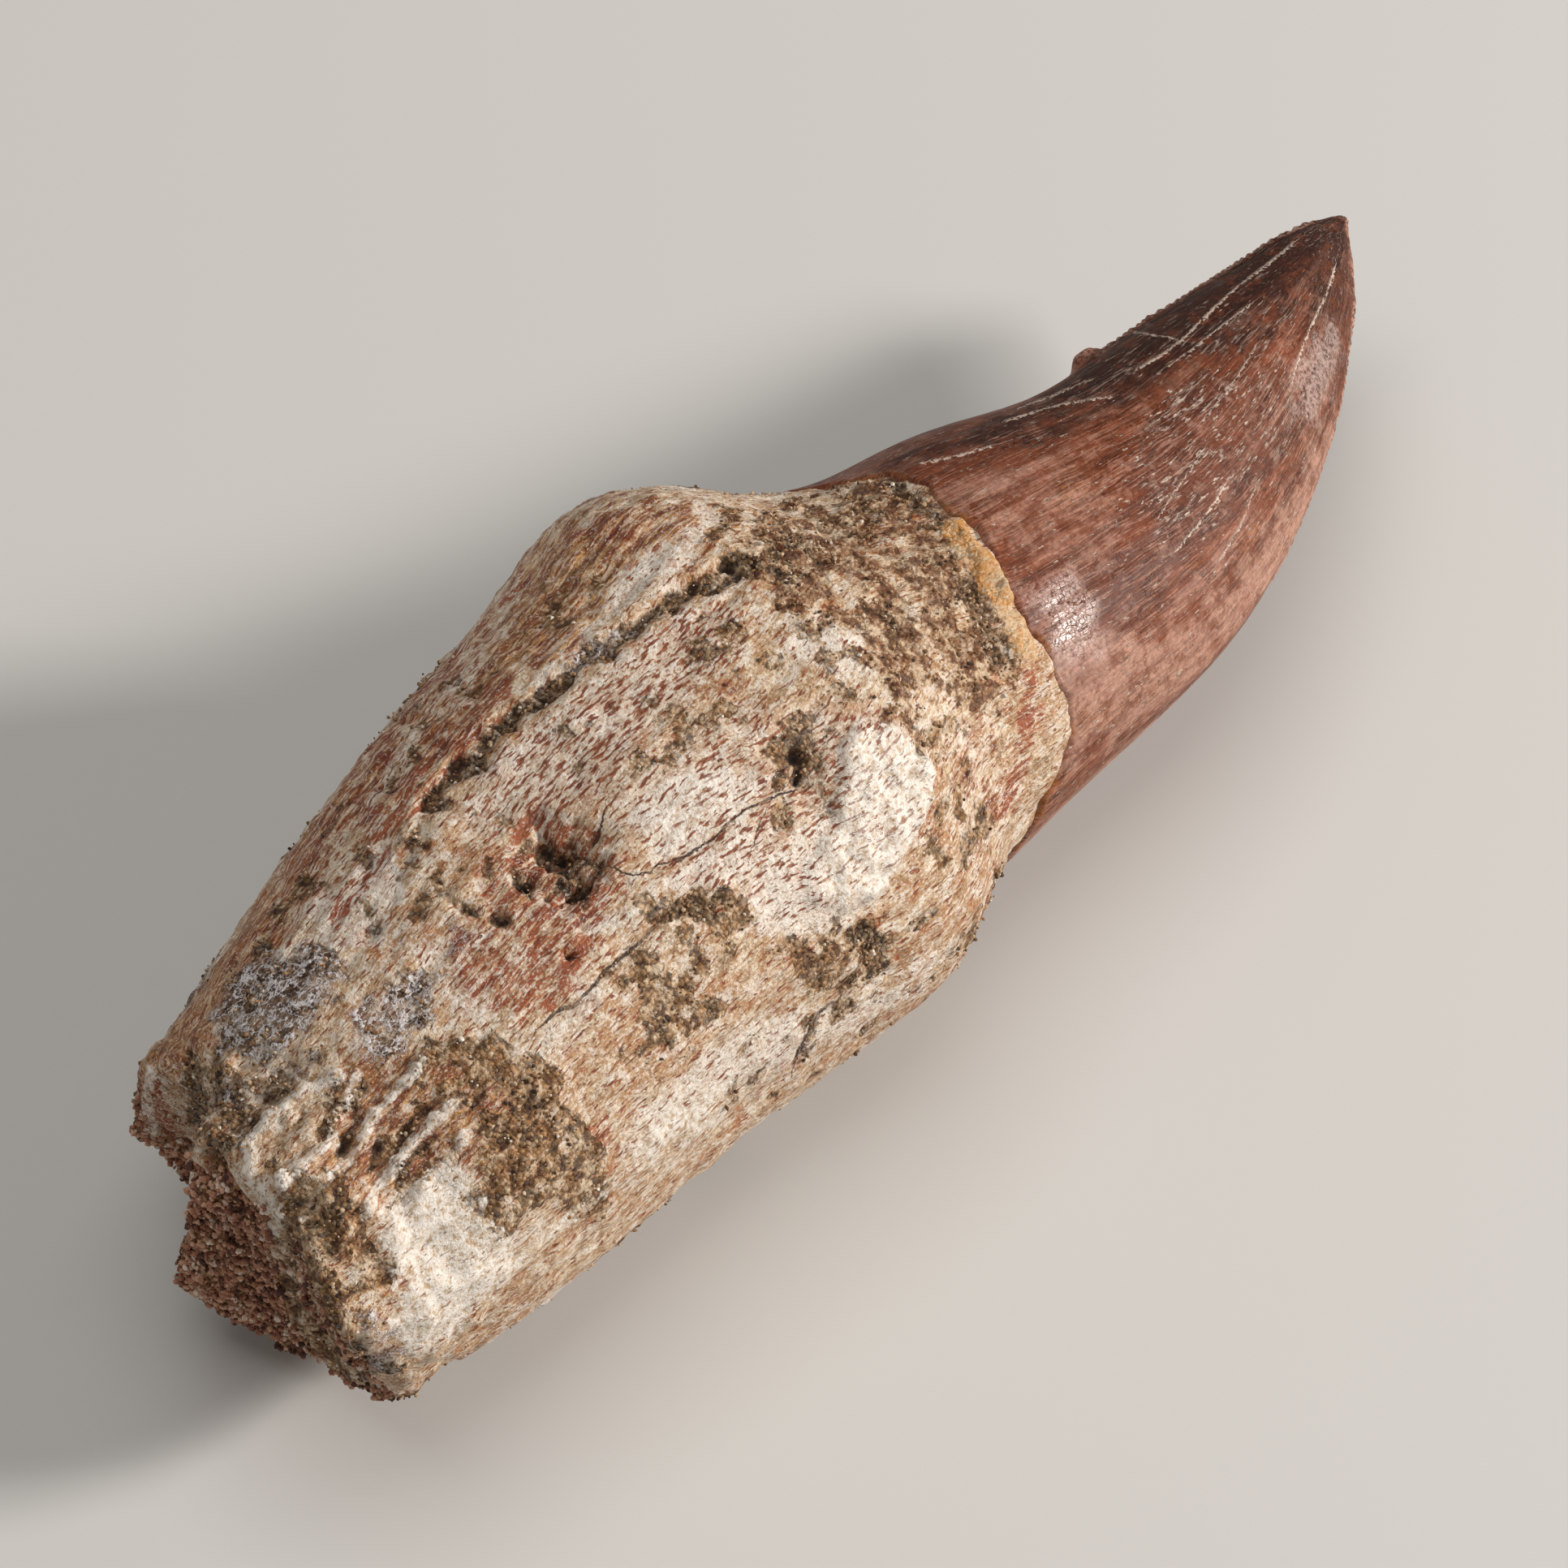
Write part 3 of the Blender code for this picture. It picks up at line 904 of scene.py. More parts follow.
        Area(((400, 1320), (330, 1350), (240, 1390), (232, 1360), (330, 1320), (390, 1295)), strength=0.5),
        Area(((425, 1610), (460, 1612), (500, 1660), (490, 1700), (440, 1690)), strength=0.6, lift=0.1),
        Area(((690, 820), (745, 770), (790, 770), (760, 800), (710, 840)),
             strength=0.6, lift=0.15, soft=6, ragged=5),
    ),
    Zone.BARE: (
        Stroke(((415, 1327), (360, 1348), (322, 1384), (304, 1414), (309, 1444), (330, 1474), (345, 1508)),
               lift=0.28, soft=6, ragged=7, width=15),
        Stroke(((440, 1326), (426, 1358), (406, 1388)), strength=0.9, lift=0.2, soft=5, ragged=6, width=9),
        Stroke(((522, 1308), (486, 1346), (462, 1372), (438, 1414)), lift=0.28, soft=5, ragged=7, width=13),
        Stroke(((414, 1402), (390, 1424), (362, 1444), (346, 1464)), lift=0.25, soft=5, ragged=6),
        Stroke(((560, 1360), (530, 1390), (508, 1408), (486, 1436), (462, 1468), (452, 1498)),
               lift=0.28, soft=5, ragged=7, width=13),
        Stroke(((574, 1398), (548, 1434), (522, 1460)), lift=0.22, soft=5, ragged=7, width=13),
        Stroke(((428, 1430), (400, 1456), (372, 1500)), strength=0.9, lift=0.2, soft=5, ragged=6, width=10),
        Stroke(((190, 1318), (182, 1350), (188, 1400)), strength=0.8, lift=0.2, soft=7, ragged=6),
        Area(((480, 1500), (530, 1450), (580, 1440), (600, 1500), (640, 1545), (700, 1500), (790, 1440),
              (800, 1385), (900, 1330), (880, 1385), (700, 1500), (610, 1590), (520, 1670), (482, 1640),
              (500, 1570), (470, 1540)), strength=0.9),
        Area(((1050, 900), (1110, 905), (1138, 945), (1140, 985), (1112, 1040), (1080, 1085), (1040, 1115),
              (1000, 1105), (1010, 1060), (1035, 1000), (1040, 940)), strength=0.8),
        Area(((790, 1010), (850, 960), (905, 955), (900, 990), (850, 1030), (800, 1045)), strength=0.6),
        Stroke(((600, 1010), (640, 975), (700, 925), (760, 880), (820, 830)), strength=0.35, width=34),
    ),
    Zone.RIM: (
        Stroke(((1176, 656), (1192, 676), (1212, 704), (1220, 720)), lift=0.25, soft=6, ragged=7, width=34),
        Stroke(((1215, 710), (1232, 738), (1245, 762), (1258, 788), (1262, 804)),
               lift=0.2, soft=6, ragged=7, width=25),
    ),
    Zone.SHAPE: (
        Area(((1050, 892), (1110, 895), (1142, 940), (1148, 985), (1120, 1040), (1090, 1090), (1040, 1120),
              (990, 1110), (1000, 1060), (1030, 1000), (1035, 940)), lift=0.4, soft=9, ragged=4),
        Area(((640, 1015), (700, 1010), (745, 1045), (750, 1090), (700, 1130), (650, 1110), (620, 1070)),
             lift=-0.2, soft=16),
        Stroke(((664, 1036), (676, 1052), (694, 1062)), lift=-0.6, soft=6, ragged=12, width=15),
        Stroke(((700, 1038), (722, 1050), (744, 1062)), lift=-0.5, soft=5, ragged=10, width=10),
        Stroke(((722, 1080), (712, 1104), (690, 1108)), lift=-0.6, soft=5, ragged=10),
        Stroke(((652, 1078), (668, 1090), (676, 1108)), lift=-0.45, soft=5, ragged=10, width=9),
        Stroke(((628, 1062), (644, 1088)), lift=-0.5, soft=5, ragged=8, width=10),
        Stroke(((690, 1078), (704, 1084)), lift=0.35, soft=5, ragged=8, width=10),
        Stroke(((696, 1176), (706, 1180)), lift=-0.8, soft=5, ragged=3, width=9),
        Stroke(((553, 1110), (585, 1124), (622, 1134)), lift=-0.4, soft=5, ragged=6, width=9),
        Stroke(((258, 1422), (272, 1432)), lift=-0.9, soft=8, ragged=5, width=16),
    ),
}

ROOT_CRACKS: tuple[FineLine, ...] = (
    FineLine("crack_a", ((975, 974), (962, 977), (942, 987), (919, 997), (896, 1015), (881, 1032),
                         (858, 1046), (838, 1059)), width=3.0, depth=0.1),
    FineLine("crack_b", ((846, 1053), (822, 1062), (810, 1065), (801, 1075), (781, 1078), (767, 1076),
                         (747, 1062)), width=1.8, depth=0.03),
    FineLine("crack_c", ((942, 1002), (933, 1025), (927, 1045)), width=1.8, depth=0.04),
    FineLine("crack_d", ((808, 1140), (790, 1160), (767, 1180), (747, 1194), (735, 1211), (721, 1226),
                         (706, 1240), (689, 1243), (669, 1263)), width=3.6, depth=0.12),
    FineLine("crack_e", ((1026, 1238), (1003, 1262), (991, 1280), (979, 1312)), width=4.0, depth=0.14),
    FineLine("crack_f", ((744, 1000), (740, 1016), (728, 1038)), width=2.6, depth=0.08),
)


@dataclass(frozen=True)
class Patches:
    """Patches of one zone, put by noise on the sides that the sheet doesn't show."""

    size: float
    seed: float
    low: float
    high: float
    most: float


FAR_SIDE: dict[Zone, Patches] = {
    Zone.CREAM: Patches(size=9.0, seed=51.0, low=0.0, high=0.35, most=0.9),
    Zone.DIRT: Patches(size=6.0, seed=61.0, low=0.12, high=0.4, most=0.9),
    Zone.RUST: Patches(size=7.0, seed=71.0, low=0.1, high=0.45, most=0.7),
    Zone.DARK: Patches(size=4.0, seed=81.0, low=0.3, high=0.5, most=0.8),
    Zone.PORED: Patches(size=10.0, seed=91.0, low=-0.1, high=0.4, most=0.8),
    Zone.CHALK: Patches(size=5.0, seed=97.0, low=0.35, high=0.6, most=0.7),
    Zone.OCHRE: Patches(size=11.0, seed=103.0, low=-0.1, high=0.3, most=0.8),
    Zone.BARE: Patches(size=5.0, seed=109.0, low=0.2, high=0.45, most=0.7),
}


class BonePatterns:
    """The noises and the drawn amounts that the bone's colour, roughness and relief share."""

    def __init__(self, graph: Graph) -> None:
        """Builds the patterns' nodes in a graph."""
        self.graph = graph
        self.zones = {zone: graph.number(zone.value) for zone in ROOT_ZONES}
        self.hollow = graph.number("hollow")
        self.add_noises()
        self.rust = self.spread(Zone.RUST, 0.25, 0.7)
        self.cream = self.spread(Zone.CREAM, 0.3, 0.85)
        self.dirt = self.spread(Zone.DIRT, 0.3, 0.85)
        self.crust = self.spread(Zone.CRUST, 0.15, 0.75)
        self.dark = self.spread(Zone.DARK, 0.1, 0.75)
        self.broken = (self.zones[Zone.BROKEN] + (self.speck - 0.5) * 0.8).step(0.3, 0.7)
        self.loose = self.dirt | self.crust | self.dark | self.broken
        fewer = 0.012 * self.cream + 0.022 * self.zones[Zone.BARE]
        self.pore_depth = self.dash - (0.6 - 0.085 * self.zones[Zone.PORED] - 0.03 * self.rust + fewer)
        self.pores = self.pore_depth.step(0.0, 0.05)
        self.cracks = graph.lines(ROOT_CRACKS, self.speck, 9.0, 0.6)
        self.add_lace()

    def add_noises(self) -> None:
        """Adds the noises: those of the place, and those that run along the tooth."""
        self.place = self.graph.place()
        self.blotch = self.graph.noise(self.place, 2.4, 4.0, 0.62)
        self.mottle = self.graph.noise(self.place, 1.0, 5.0, 0.72)
        self.speck = self.graph.noise(self.place, 0.34, 3.0, 0.65)
        self.gap, self.tone = self.graph.cells(self.place, 0.27)
        self.grain = self.graph.grain()
        self.fibre = self.graph.noise(self.grain, (1.9, 0.26, 0.26), 3.0, 0.62)
        self.stripe = self.graph.noise(self.grain, (3.2, 0.26, 0.26), 2.0, 0.55)
        self.salt = self.graph.noise(self.grain, (0.2, 0.13, 0.13), 3.0, 0.65)
        self.dash = self.graph.noise(self.grain, (0.66, 0.17, 0.17), 2.0, 0.5)
        self.uneven = (self.blotch - 0.5) * 1.6 + (self.mottle - 0.5) * 2.2 + (self.speck - 0.5) * 1.6

    def add_lace(self) -> None:
        """Adds the chalk's area and the lace in it: thin curves where two noises cross their middle value."""
        zone = self.zones[Zone.CHALK]
        self.chalk = (zone + (self.mottle - 0.5) * 3.0 * zone.step(0.0, 0.3)).step(0.3, 1.1)
        web = abs(self.graph.noise(self.grain, (1.3, 0.8, 0.8), 3.0, 0.65) - 0.5).step(0.05, 0.015)
        net = abs(self.graph.noise(self.place, 0.55, 2.0) - 0.5).step(0.045, 0.012)
        self.lace = self.chalk * (web | net) * self.speck.step(0.32, 0.46)

    def spread(self, zone: Zone, low: float, high: float) -> Value:
        """The zone's amount, broken up by noise where there is any."""
        amount = self.zones[zone]
        return (amount + self.uneven * amount.step(0.0, 0.45)).step(low, high)


@dataclass(frozen=True)
class BoneFinish:
    """Worn fossil bone: cream, with fibres, rust-red pores, olive dirt, dark grains and chalk, and painted
    shade in its hollows and in one crevice.
    """

    pale: Colour = srgb(218, 192, 158)
    white: Colour = srgb(246, 238, 227)
    tan: Colour = srgb(190, 148, 104)
    ochre: Colour = srgb(170, 108, 60)
    rust: Colour = srgb(156, 76, 36)
    maroon: Colour = srgb(106, 44, 21)
    olive: Colour = srgb(124, 94, 50)
    umber: Colour = srgb(68, 42, 26)
    black: Colour = srgb(28, 19, 14)
    crack: Colour = srgb(60, 30, 14)
    chalk: Colour = srgb(238, 233, 234)
    lilac: Colour = srgb(142, 116, 102)
    amber: Colour = srgb(222, 166, 98)
    stain: Colour = srgb(144, 104, 58)
    earth: Colour = srgb(150, 96, 64)
    honey: Colour = srgb(234, 186, 116)
    copper: Colour = srgb(178, 104, 54)
    gap_shade: Colour = (0.5, 0.42, 0.36)
    soil_shade: Colour = (0.42, 0.36, 0.24)
    soil_speck: Colour = (0.6, 0.48, 0.32)
    earth_shade: Colour = (0.4, 0.28, 0.2)
    earth_speck: Colour = (0.45, 0.33, 0.24)
    fine_speck: Colour = (0.66, 0.55, 0.46)

    def material(self) -> bpy.types.Material:
        """Builds the finish's material."""
        bone = BonePatterns(Graph("fossil bone"))
        colour = self.stained(bone, self.sound(bone))
        colour = self.pored(bone, colour)
        colour = self.soiled(bone, colour)
        colour = self.bared(bone, colour)
        colour = self.rimmed(bone, colour)
        colour = self.chalked(bone, colour)
        colour = self.sunk(bone, colour)
        rough, relief = self.roughness(bone), self.relief(bone)
        return bone.graph.finish(colour, rough, relief, {"Specular IOR Level": 0.45})

    def sound(self, bone: BonePatterns) -> Value:
        """Sound bone: pale and tan blotches with fibres, whiter in the cream places."""
        mix = bone.graph.mix
        colour = mix(bone.blotch.step(0.42, 0.6) * 0.8, self.pale, self.tan)
        colour = mix(bone.fibre.step(0.51, 0.57) * 0.4, colour, self.ochre)
        colour = mix(bone.fibre.step(0.48, 0.42) * 0.5, colour, self.white)
        colour = mix(bone.cream * 0.8, colour, self.white)
        stain = mix(bone.blotch.step(0.44, 0.58), self.stain, self.copper)
        colour = mix(bone.mottle.step(0.53, 0.6) * (0.65 - 0.2 * bone.cream), colour, stain)
        colour = mix(bone.mottle.step(0.47, 0.4) * 0.6, colour, self.white)
        return mix(bone.zones[Zone.PORED] * 0.35, colour, self.white)

    def stained(self, bone: BonePatterns, colour: Value) -> Value:
        """Lays rusty and honey-coloured streaks and a fine light and dark grain over a colour."""
        mix, tint = bone.graph.mix, bone.graph.tint
        colour = mix(bone.rust * bone.stripe.step(0.46, 0.53) * 0.95, colour, self.rust)
        stain = bone.spread(Zone.OCHRE, 0.2, 0.7) * (0.4 + 0.6 * bone.stripe.step(0.43, 0.52))
        colour = tint(stain * 0.95, colour, mix(bone.fibre.step(0.44, 0.56), self.honey, self.copper))
        colour = mix(stain * bone.stripe.step(0.54, 0.6) * 0.5, colour, self.umber)
        colour = mix(bone.salt.step(0.55, 0.62) * 0.55, colour, self.white)
        dull = mix(bone.rust | bone.zones[Zone.PORED], self.stain, self.rust)
        return mix(bone.salt.step(0.45, 0.38) * 0.6, colour, dull)

    def pored(self, bone: BonePatterns, colour: Value) -> Value:
        """Lays the red-brown pores over a colour, darkest in their middles."""
        mix = bone.graph.mix
        edge = mix(bone.blotch.step(0.56, 0.46), self.rust, self.copper)
        colour = mix(bone.pores * 0.9, colour, edge)
        return mix(bone.pore_depth.step(0.05, 0.12) * 0.8, colour, self.maroon)

    def soiled(self, bone: BonePatterns, colour: Value) -> Value:
        """Lays dirt, the neck's crust, the broken end's sand and the dark grains over a colour; beside the
        rim the dark grains are also painted shadow.
        """
        mix, tint = bone.graph.mix, bone.graph.tint
        grains = mix(bone.tone.step(0.1, 0.3), self.umber, self.olive)
        grains = mix(bone.tone.step(0.35, 0.6), grains, self.tan)
        grains = mix(bone.tone.step(0.7, 0.9), grains, self.pale)
        grains = tint(bone.gap.step(0.35, 0.85), grains, self.gap_shade)
        soil = mix(bone.mottle.step(0.47, 0.4) * 0.8, grains, self.pale)
        soil = tint(bone.mottle.step(0.51, 0.56), soil, self.soil_shade)
        soil = tint(bone.speck.step(0.5, 0.3), soil, self.soil_speck)
        colour = mix(bone.dirt * 0.82, colour, soil)
        earth = mix(bone.mottle.step(0.5, 0.42) * 0.9, mix(0.5, grains, self.earth), self.pale)
        earth = tint(bone.mottle.step(0.51, 0.57), earth, self.earth_shade)
        earth = tint(bone.speck.step(0.46, 0.34), earth, self.earth_speck)
        colour = mix(bone.crust * 0.85, colour, earth)
        colour = mix(bone.broken, colour, mix(0.5, grains, mix(bone.tone, self.maroon, self.tan)))
        shown = bone.dark * (0.45 + 0.55 * bone.speck.step(0.62, 0.45))
        return mix(shown, colour, mix(0.6, grains, self.black))

    def bared(self, bone: BonePatterns, colour: Value) -> Value:
        """Lays clean white bone over a colour, and lets the pores show through."""
        mix = bone.graph.mix
        bare = bone.spread(Zone.BARE, 0.2, 0.9) * (0.87 - 0.55 * bone.pores)
        return mix(bare, colour, mix(bone.speck.step(0.5, 0.34), self.white, self.pale))

    def rimmed(self, bone: BonePatterns, colour: Value) -> Value:
        """Lays the amber rim under the enamel over a colour."""
        mix, tint = bone.graph.mix, bone.graph.tint
        rim = (bone.zones[Zone.RIM] + (bone.speck - 0.5)).step(0.25, 0.6)
        pale = (bone.blotch + 0.5 * bone.speck).step(0.62, 0.86)
        colour = mix(rim, colour, mix(pale, self.amber, self.pale))
        return tint(rim * bone.salt.step(0.5, 0.4) * 0.7, colour, self.honey)

    def chalked(self, bone: BonePatterns, colour: Value) -> Value:
        """Lays the chalk's dull ground and its white lace over a colour."""
        mix = bone.graph.mix
        colour = mix(bone.chalk * 0.7, colour, mix(bone.speck.step(0.42, 0.64), self.umber, self.lilac))
        return mix(bone.lace, colour, self.chalk)

    def sunk(self, bone: BonePatterns, colour: Value) -> Value:
        """Paints shade into hollows, and darkens cracks and fine specks of a colour."""
        mix, tint = bone.graph.mix, bone.graph.tint
        # Painted shade: hollows darker, the deepest near black.
        colour = mix(bone.hollow.step(0.04, 0.2) * 0.6, colour, self.umber)
        colour = mix(bone.hollow.step(0.16, 0.4) * 0.9, colour, self.black)
        colour = mix(bone.cracks * (0.55 + 0.4 * bone.mottle.step(0.56, 0.48)), colour, self.crack)
        return tint(0.6, colour, mix(bone.speck.step(0.3, 0.7), self.fine_speck, NO_TINT))

    @staticmethod
    def roughness(bone: BonePatterns) -> Value:
        """How rough the bone is: most where it is dirty, with some glinting grains."""
        glints = bone.loose * bone.tone.step(0.92, 0.96)
        return 0.56 + 0.3 * bone.loose - 0.35 * glints - 0.28 * bone.salt.step(0.6, 0.66)

    @staticmethod
    def relief(bone: BonePatterns) -> Value:
        """The bone's fine relief in millimetres."""
        raised = bone.fibre * 0.045 + bone.speck * 0.11 + bone.salt * 0.07 + bone.lace * 0.06
        return raised - bone.pores * 0.06 - bone.gap * bone.loose * 0.13 - bone.cracks * 0.08


@dataclass
class Root:
    """The bone root, from the broken end to just under the enamel."""

    cell: float = 0.278
    passes: int = 12
    starts_at: float = -60.0
    ends_at: float = 14.0
    end_rounded_from: float = 35.0
    end_rounded_to: float = 38.0
    rounding_passes: int = 50
    hollow_passes: int = 8
    sunk_under_enamel: float = 0.35
    end_face_from: float = 34.0
    end_face_to: float = 37.0
    end_lumps_from: float = 36.0
    end_lumps_to: float = 40.0
    far_crust: float = 0.8
    finish: BoneFinish = field(default_factory=BoneFinish)
    skin: Skin = field(init=False)
    zones: dict[Zone, np.ndarray] = field(init=False)

    def build(self) -> bpy.types.Object:
        """Carves, colours and places the root."""
        skin = self.skin = Skin("root_bone", self.starts_at, self.ends_at, self.cell, self.passes)
        end = smooth(-skin.points[:, 0], self.end_rounded_from, self.end_rounded_to)
        skin.round_off(end, self.rounding_passes)
        grain = AXIS.straightened(skin.points)
        gaps = self.carve()
        self.weather(grain)
        skin.carry("grain", grain)
        skin.carry("hollow", skin.hollows(self.hollow_passes))
        for zone in ROOT_ZONES:
            skin.carry(zone.value, self.zones[zone])
        for name, gap in gaps.items():
            skin.carry(name, gap)
        return skin.place_in_scene(self.finish.material())

    def carve(self) -> dict[str, np.ndarray]:
        """Draws the marks and the cracks, and raises or sinks the skin with them.

        Returns:
            The distance of each point to each crack, in sheet units.
        """
        skin = self.skin
        places = SHEET.places(skin.points)
        facing = SHEET.facing(skin.points, skin.normals)
        ragged = field_of(skin.points, 1.1, octaves=3, seed=4.0)
        zones, heights = draw_marks(ROOT_MARKS, places, ragged, facing)
        patches = field_of(skin.points, 1.7, octaves=4, seed=67.0)
        for zone, strength in ((Zone.DIRT, 1.1), (Zone.CRUST, 1.1), (Zone.DARK, 0.45)):
            broken_up = zones[zone] + strength * patches * smooth(zones[zone], 0.0, 0.3)
            zones[zone] = smooth(broken_up, 0.25, 0.9)
        towards_end = -skin.points[:, 0]
        end_face = smooth(-skin.normals[:, 0], 0.5, 0.8)
        end_face *= smooth(towards_end, self.end_face_from, self.end_face_to)
        zones[Zone.BROKEN] = np.maximum(zones[Zone.BROKEN], end_face * (1.0 - facing))
        self.add_far_side(zones, heights, 1.0 - facing)
        lumps = 0.45 * field_of(skin.points, 3.5, octaves=2, seed=9.0)
        lumps += 0.4 * field_of(skin.points, 1.6, octaves=2, seed=19.0)
        heights += smooth(towards_end, self.end_lumps_from, self.end_lumps_to) * lumps
        gaps, cuts = draw_lines(ROOT_CRACKS, places, facing)
        skin.raise_by(heights + cuts)
        self.zones = zones
        return gaps

    def weather(self, grain: np.ndarray) -> None:
        """Adds the fine relief of fibres, lumps and grit, and sinks the bone under the enamel.

        Args:
            grain: Each point's place on the straightened tooth.
        """
        skin, zones = self.skin, self.zones
        long_waves = field_of(grain, (9.0, 2.2, 2.2), octaves=2, seed=11.0)
        fibres = field_of(grain, (3.2, 0.7, 0.7), octaves=2, seed=21.0)
        lumps = field_of(skin.points, 0.9, octaves=3, seed=31.0)
        grit = field_of(skin.points, 0.5, octaves=2, seed=41.0)
        dents = field_of(skin.points, 2.6, octaves=3, seed=47.0)
        broken = zones[Zone.BROKEN]
        loose = 0.5 * zones[Zone.DIRT] + zones[Zone.CRUST] + 0.7 * zones[Zone.DARK] + 1.6 * broken
        fine = 0.14 * long_waves + 0.1 * fibres * (1 + 1.2 * zones[Zone.RUST]) + 0.08 * lumps
        fine += np.clip(loose, 0, 2) * (0.14 * lumps + 0.12 * grit) + (0.12 + 0.25 * broken) * dents
        under = smooth(MARGIN.beyond(skin.points), -0.2, 0.8)
        skin.raise_by(fine * (1 - under) - self.sunk_under_enamel * under)

    def add_far_side(self, zones: dict[Zone, np.ndarray], heights: np.ndarray, hidden: np.ndarray) -> None:
        """Adds dirt, stain and pale areas to the sides that the sheet doesn't show.

        Args:
            zones: The amount of each zone at each point, changed in place.
            heights: The height of each point, changed in place.
            hidden: 1 where the sheet doesn't show the surface.
        """
        for zone, area in FAR_SIDE.items():
            patches = field_of(self.skin.points, area.size, octaves=4, seed=area.seed)
            amount = area.most * hidden * smooth(patches, area.low, area.high)
            zones[zone] = np.maximum(zones[zone], amount)
        near_enamel = smooth(MARGIN.beyond(self.skin.points), -7.0, -2.0)
        zones[Zone.CRUST] = np.maximum(zones[Zone.CRUST], self.far_crust * hidden * near_enamel)
        heights += hidden * (0.12 * zones[Zone.DIRT] - 0.2 * zones[Zone.DARK])


# Sand


@dataclass(frozen=True)
class SandFinish:
    """Cemented sand from dark brown to off-white, with a few shiny grains."""

    name: str
    darkest: Colour
    tones: tuple[tuple[float, Colour], ...]
    speck_shade: Colour = (0.6, 0.5, 0.44)

    def material(self) -> bpy.types.Material:
        """Builds the finish's material."""
        g = Graph(self.name)
        tone = g.number("tone")
        speck = g.noise(g.place(), 0.12, 2.0)
        colour: "Value | Colour" = self.darkest
        for start, shade in self.tones:
            colour = g.mix(tone.step(start - 0.1, start + 0.05), colour, shade)
        colour = g.tint(0.5, colour, g.mix(speck.step(0.35, 0.6), self.speck_shade, NO_TINT))
        rough = 0.75 - 0.45 * tone.step(0.86, 0.95)
        return g.finish(colour, rough, speck * 0.02, {"Specular IOR Level": 0.5})


RED_SAND = SandFinish("red brown sand", srgb(80, 46, 34), (
    (0.2, srgb(136, 86, 66)), (0.38, srgb(180, 126, 98)),
    (0.62, srgb(210, 166, 136)), (0.92, srgb(236, 222, 208))))
PALE_SAND = SandFinish("olive brown sand", srgb(74, 52, 36), (
    (0.22, srgb(118, 90, 56)), (0.46, srgb(166, 126, 88)),
    (0.68, srgb(202, 172, 138)), (0.93, srgb(232, 222, 208))))


@dataclass(frozen=True)
class Sand:
    """Grains stuck to the root, joined into one mesh."""

    name: str
    count: int
    smallest: float
    largest: float
    seed: int
    finish: SandFinish
    stray: float = 0.05
    stands_out: float = 0.2
    squash: tuple[float, float] = (0.7, 1.25)
    dents: tuple[float, float] = (0.8, 1.15)
    clump_size: float = 1.3
    clump_tone: float = 0.4
    grain_tone: float = 0.8

    def build(self, skin: Skin, amount: np.ndarray) -> bpy.types.Object:
        """Scatters the grains over the root's skin.

        Args:
            skin: The root's skin, with its points in millimetres.
            amount: How much sand lies at each point of the skin.

        Returns:
            The new object, in metres.
        """
        chance = np.random.default_rng(self.seed)
        spots = chance.choice(len(amount), self.count, p=amount / amount.sum())
        corners, faces = self.grain()
        size = self.smallest + (self.largest - self.smallest) * chance.random((self.count, 1, 1)) ** 2
        squash = chance.uniform(*self.squash, (self.count, 1, 3))
        dents = chance.uniform(*self.dents, (self.count, len(corners), 1))
        turns = np.linalg.qr(chance.normal(size=(self.count, 3, 3)))[0]
        turns *= np.linalg.det(turns)[:, None, None]
        middles = skin.points[spots] + skin.normals[spots] * size[:, 0] * self.stands_out
        middles += chance.normal(0.0, self.stray, middles.shape)
        points = (corners * size * squash * dents) @ turns + middles[:, None]
        points[..., 2] = np.maximum(points[..., 2], LOWEST)
        shifted = faces + np.arange(self.count)[:, None, None] * len(corners)
        mesh = bpy.data.meshes.new(self.name)
        mesh.from_pydata((points.reshape(-1, 3) * MM).tolist(), [], shifted.reshape(-1, 3).tolist())
        clumps = self.clump_tone * field_of(skin.points[spots], self.clump_size, octaves=3, seed=63.0)
        tone = 0.5 + self.grain_tone * (chance.random(self.count) - 0.5) + clumps
        tones = np.repeat(tone, len(corners))
        mesh.attributes.new("tone", "FLOAT", "POINT").data.foreach_set("value", tones)
        return dressed(mesh, self.name, self.finish.material())

    @staticmethod
    def grain() -> tuple[np.ndarray, np.ndarray]:
        """The corners and the faces of one round grain of radius 1."""
        bm = bmesh.new()
        bmesh.ops.create_icosphere(bm, subdivisions=1, radius=1.0)
        corners = np.array([vert.co for vert in bm.verts])
        faces = np.array([[vert.index for vert in face.verts] for face in bm.faces])
        bm.free()
        return corners, faces


END_SAND = Sand("end_sand", 6000, smallest=0.1, largest=0.24, seed=5, finish=RED_SAND)
CLINGING_SAND = Sand("clinging_sand", 8500, smallest=0.05, largest=0.15, seed=6, finish=PALE_SAND)


def sand_on(root: Root) -> list[bpy.types.Object]:
    """Adds the sand on the broken end and the sand that clings elsewhere."""
    zones, skin = root.zones, root.skin
    patchy = smooth(field_of(skin.points, 1.1, octaves=4, seed=57.0), -0.2, 0.3)
    clear = smooth(-MARGIN.beyond(skin.points), 0.2, 0.8)
    clinging = zones[Zone.CRUST] + 0.5 * zones[Zone.DIRT] + 1.5 * zones[Zone.DARK] + 0.15 * zones[Zone.CHALK]
    clinging *= (0.08 + patchy) * clear * (1.0 - zones[Zone.BROKEN]) * (1.0 - zones[Zone.RIM])
    return [END_SAND.build(skin, zones[Zone.BROKEN] ** 2), CLINGING_SAND.build(skin, clinging)]


# Crown


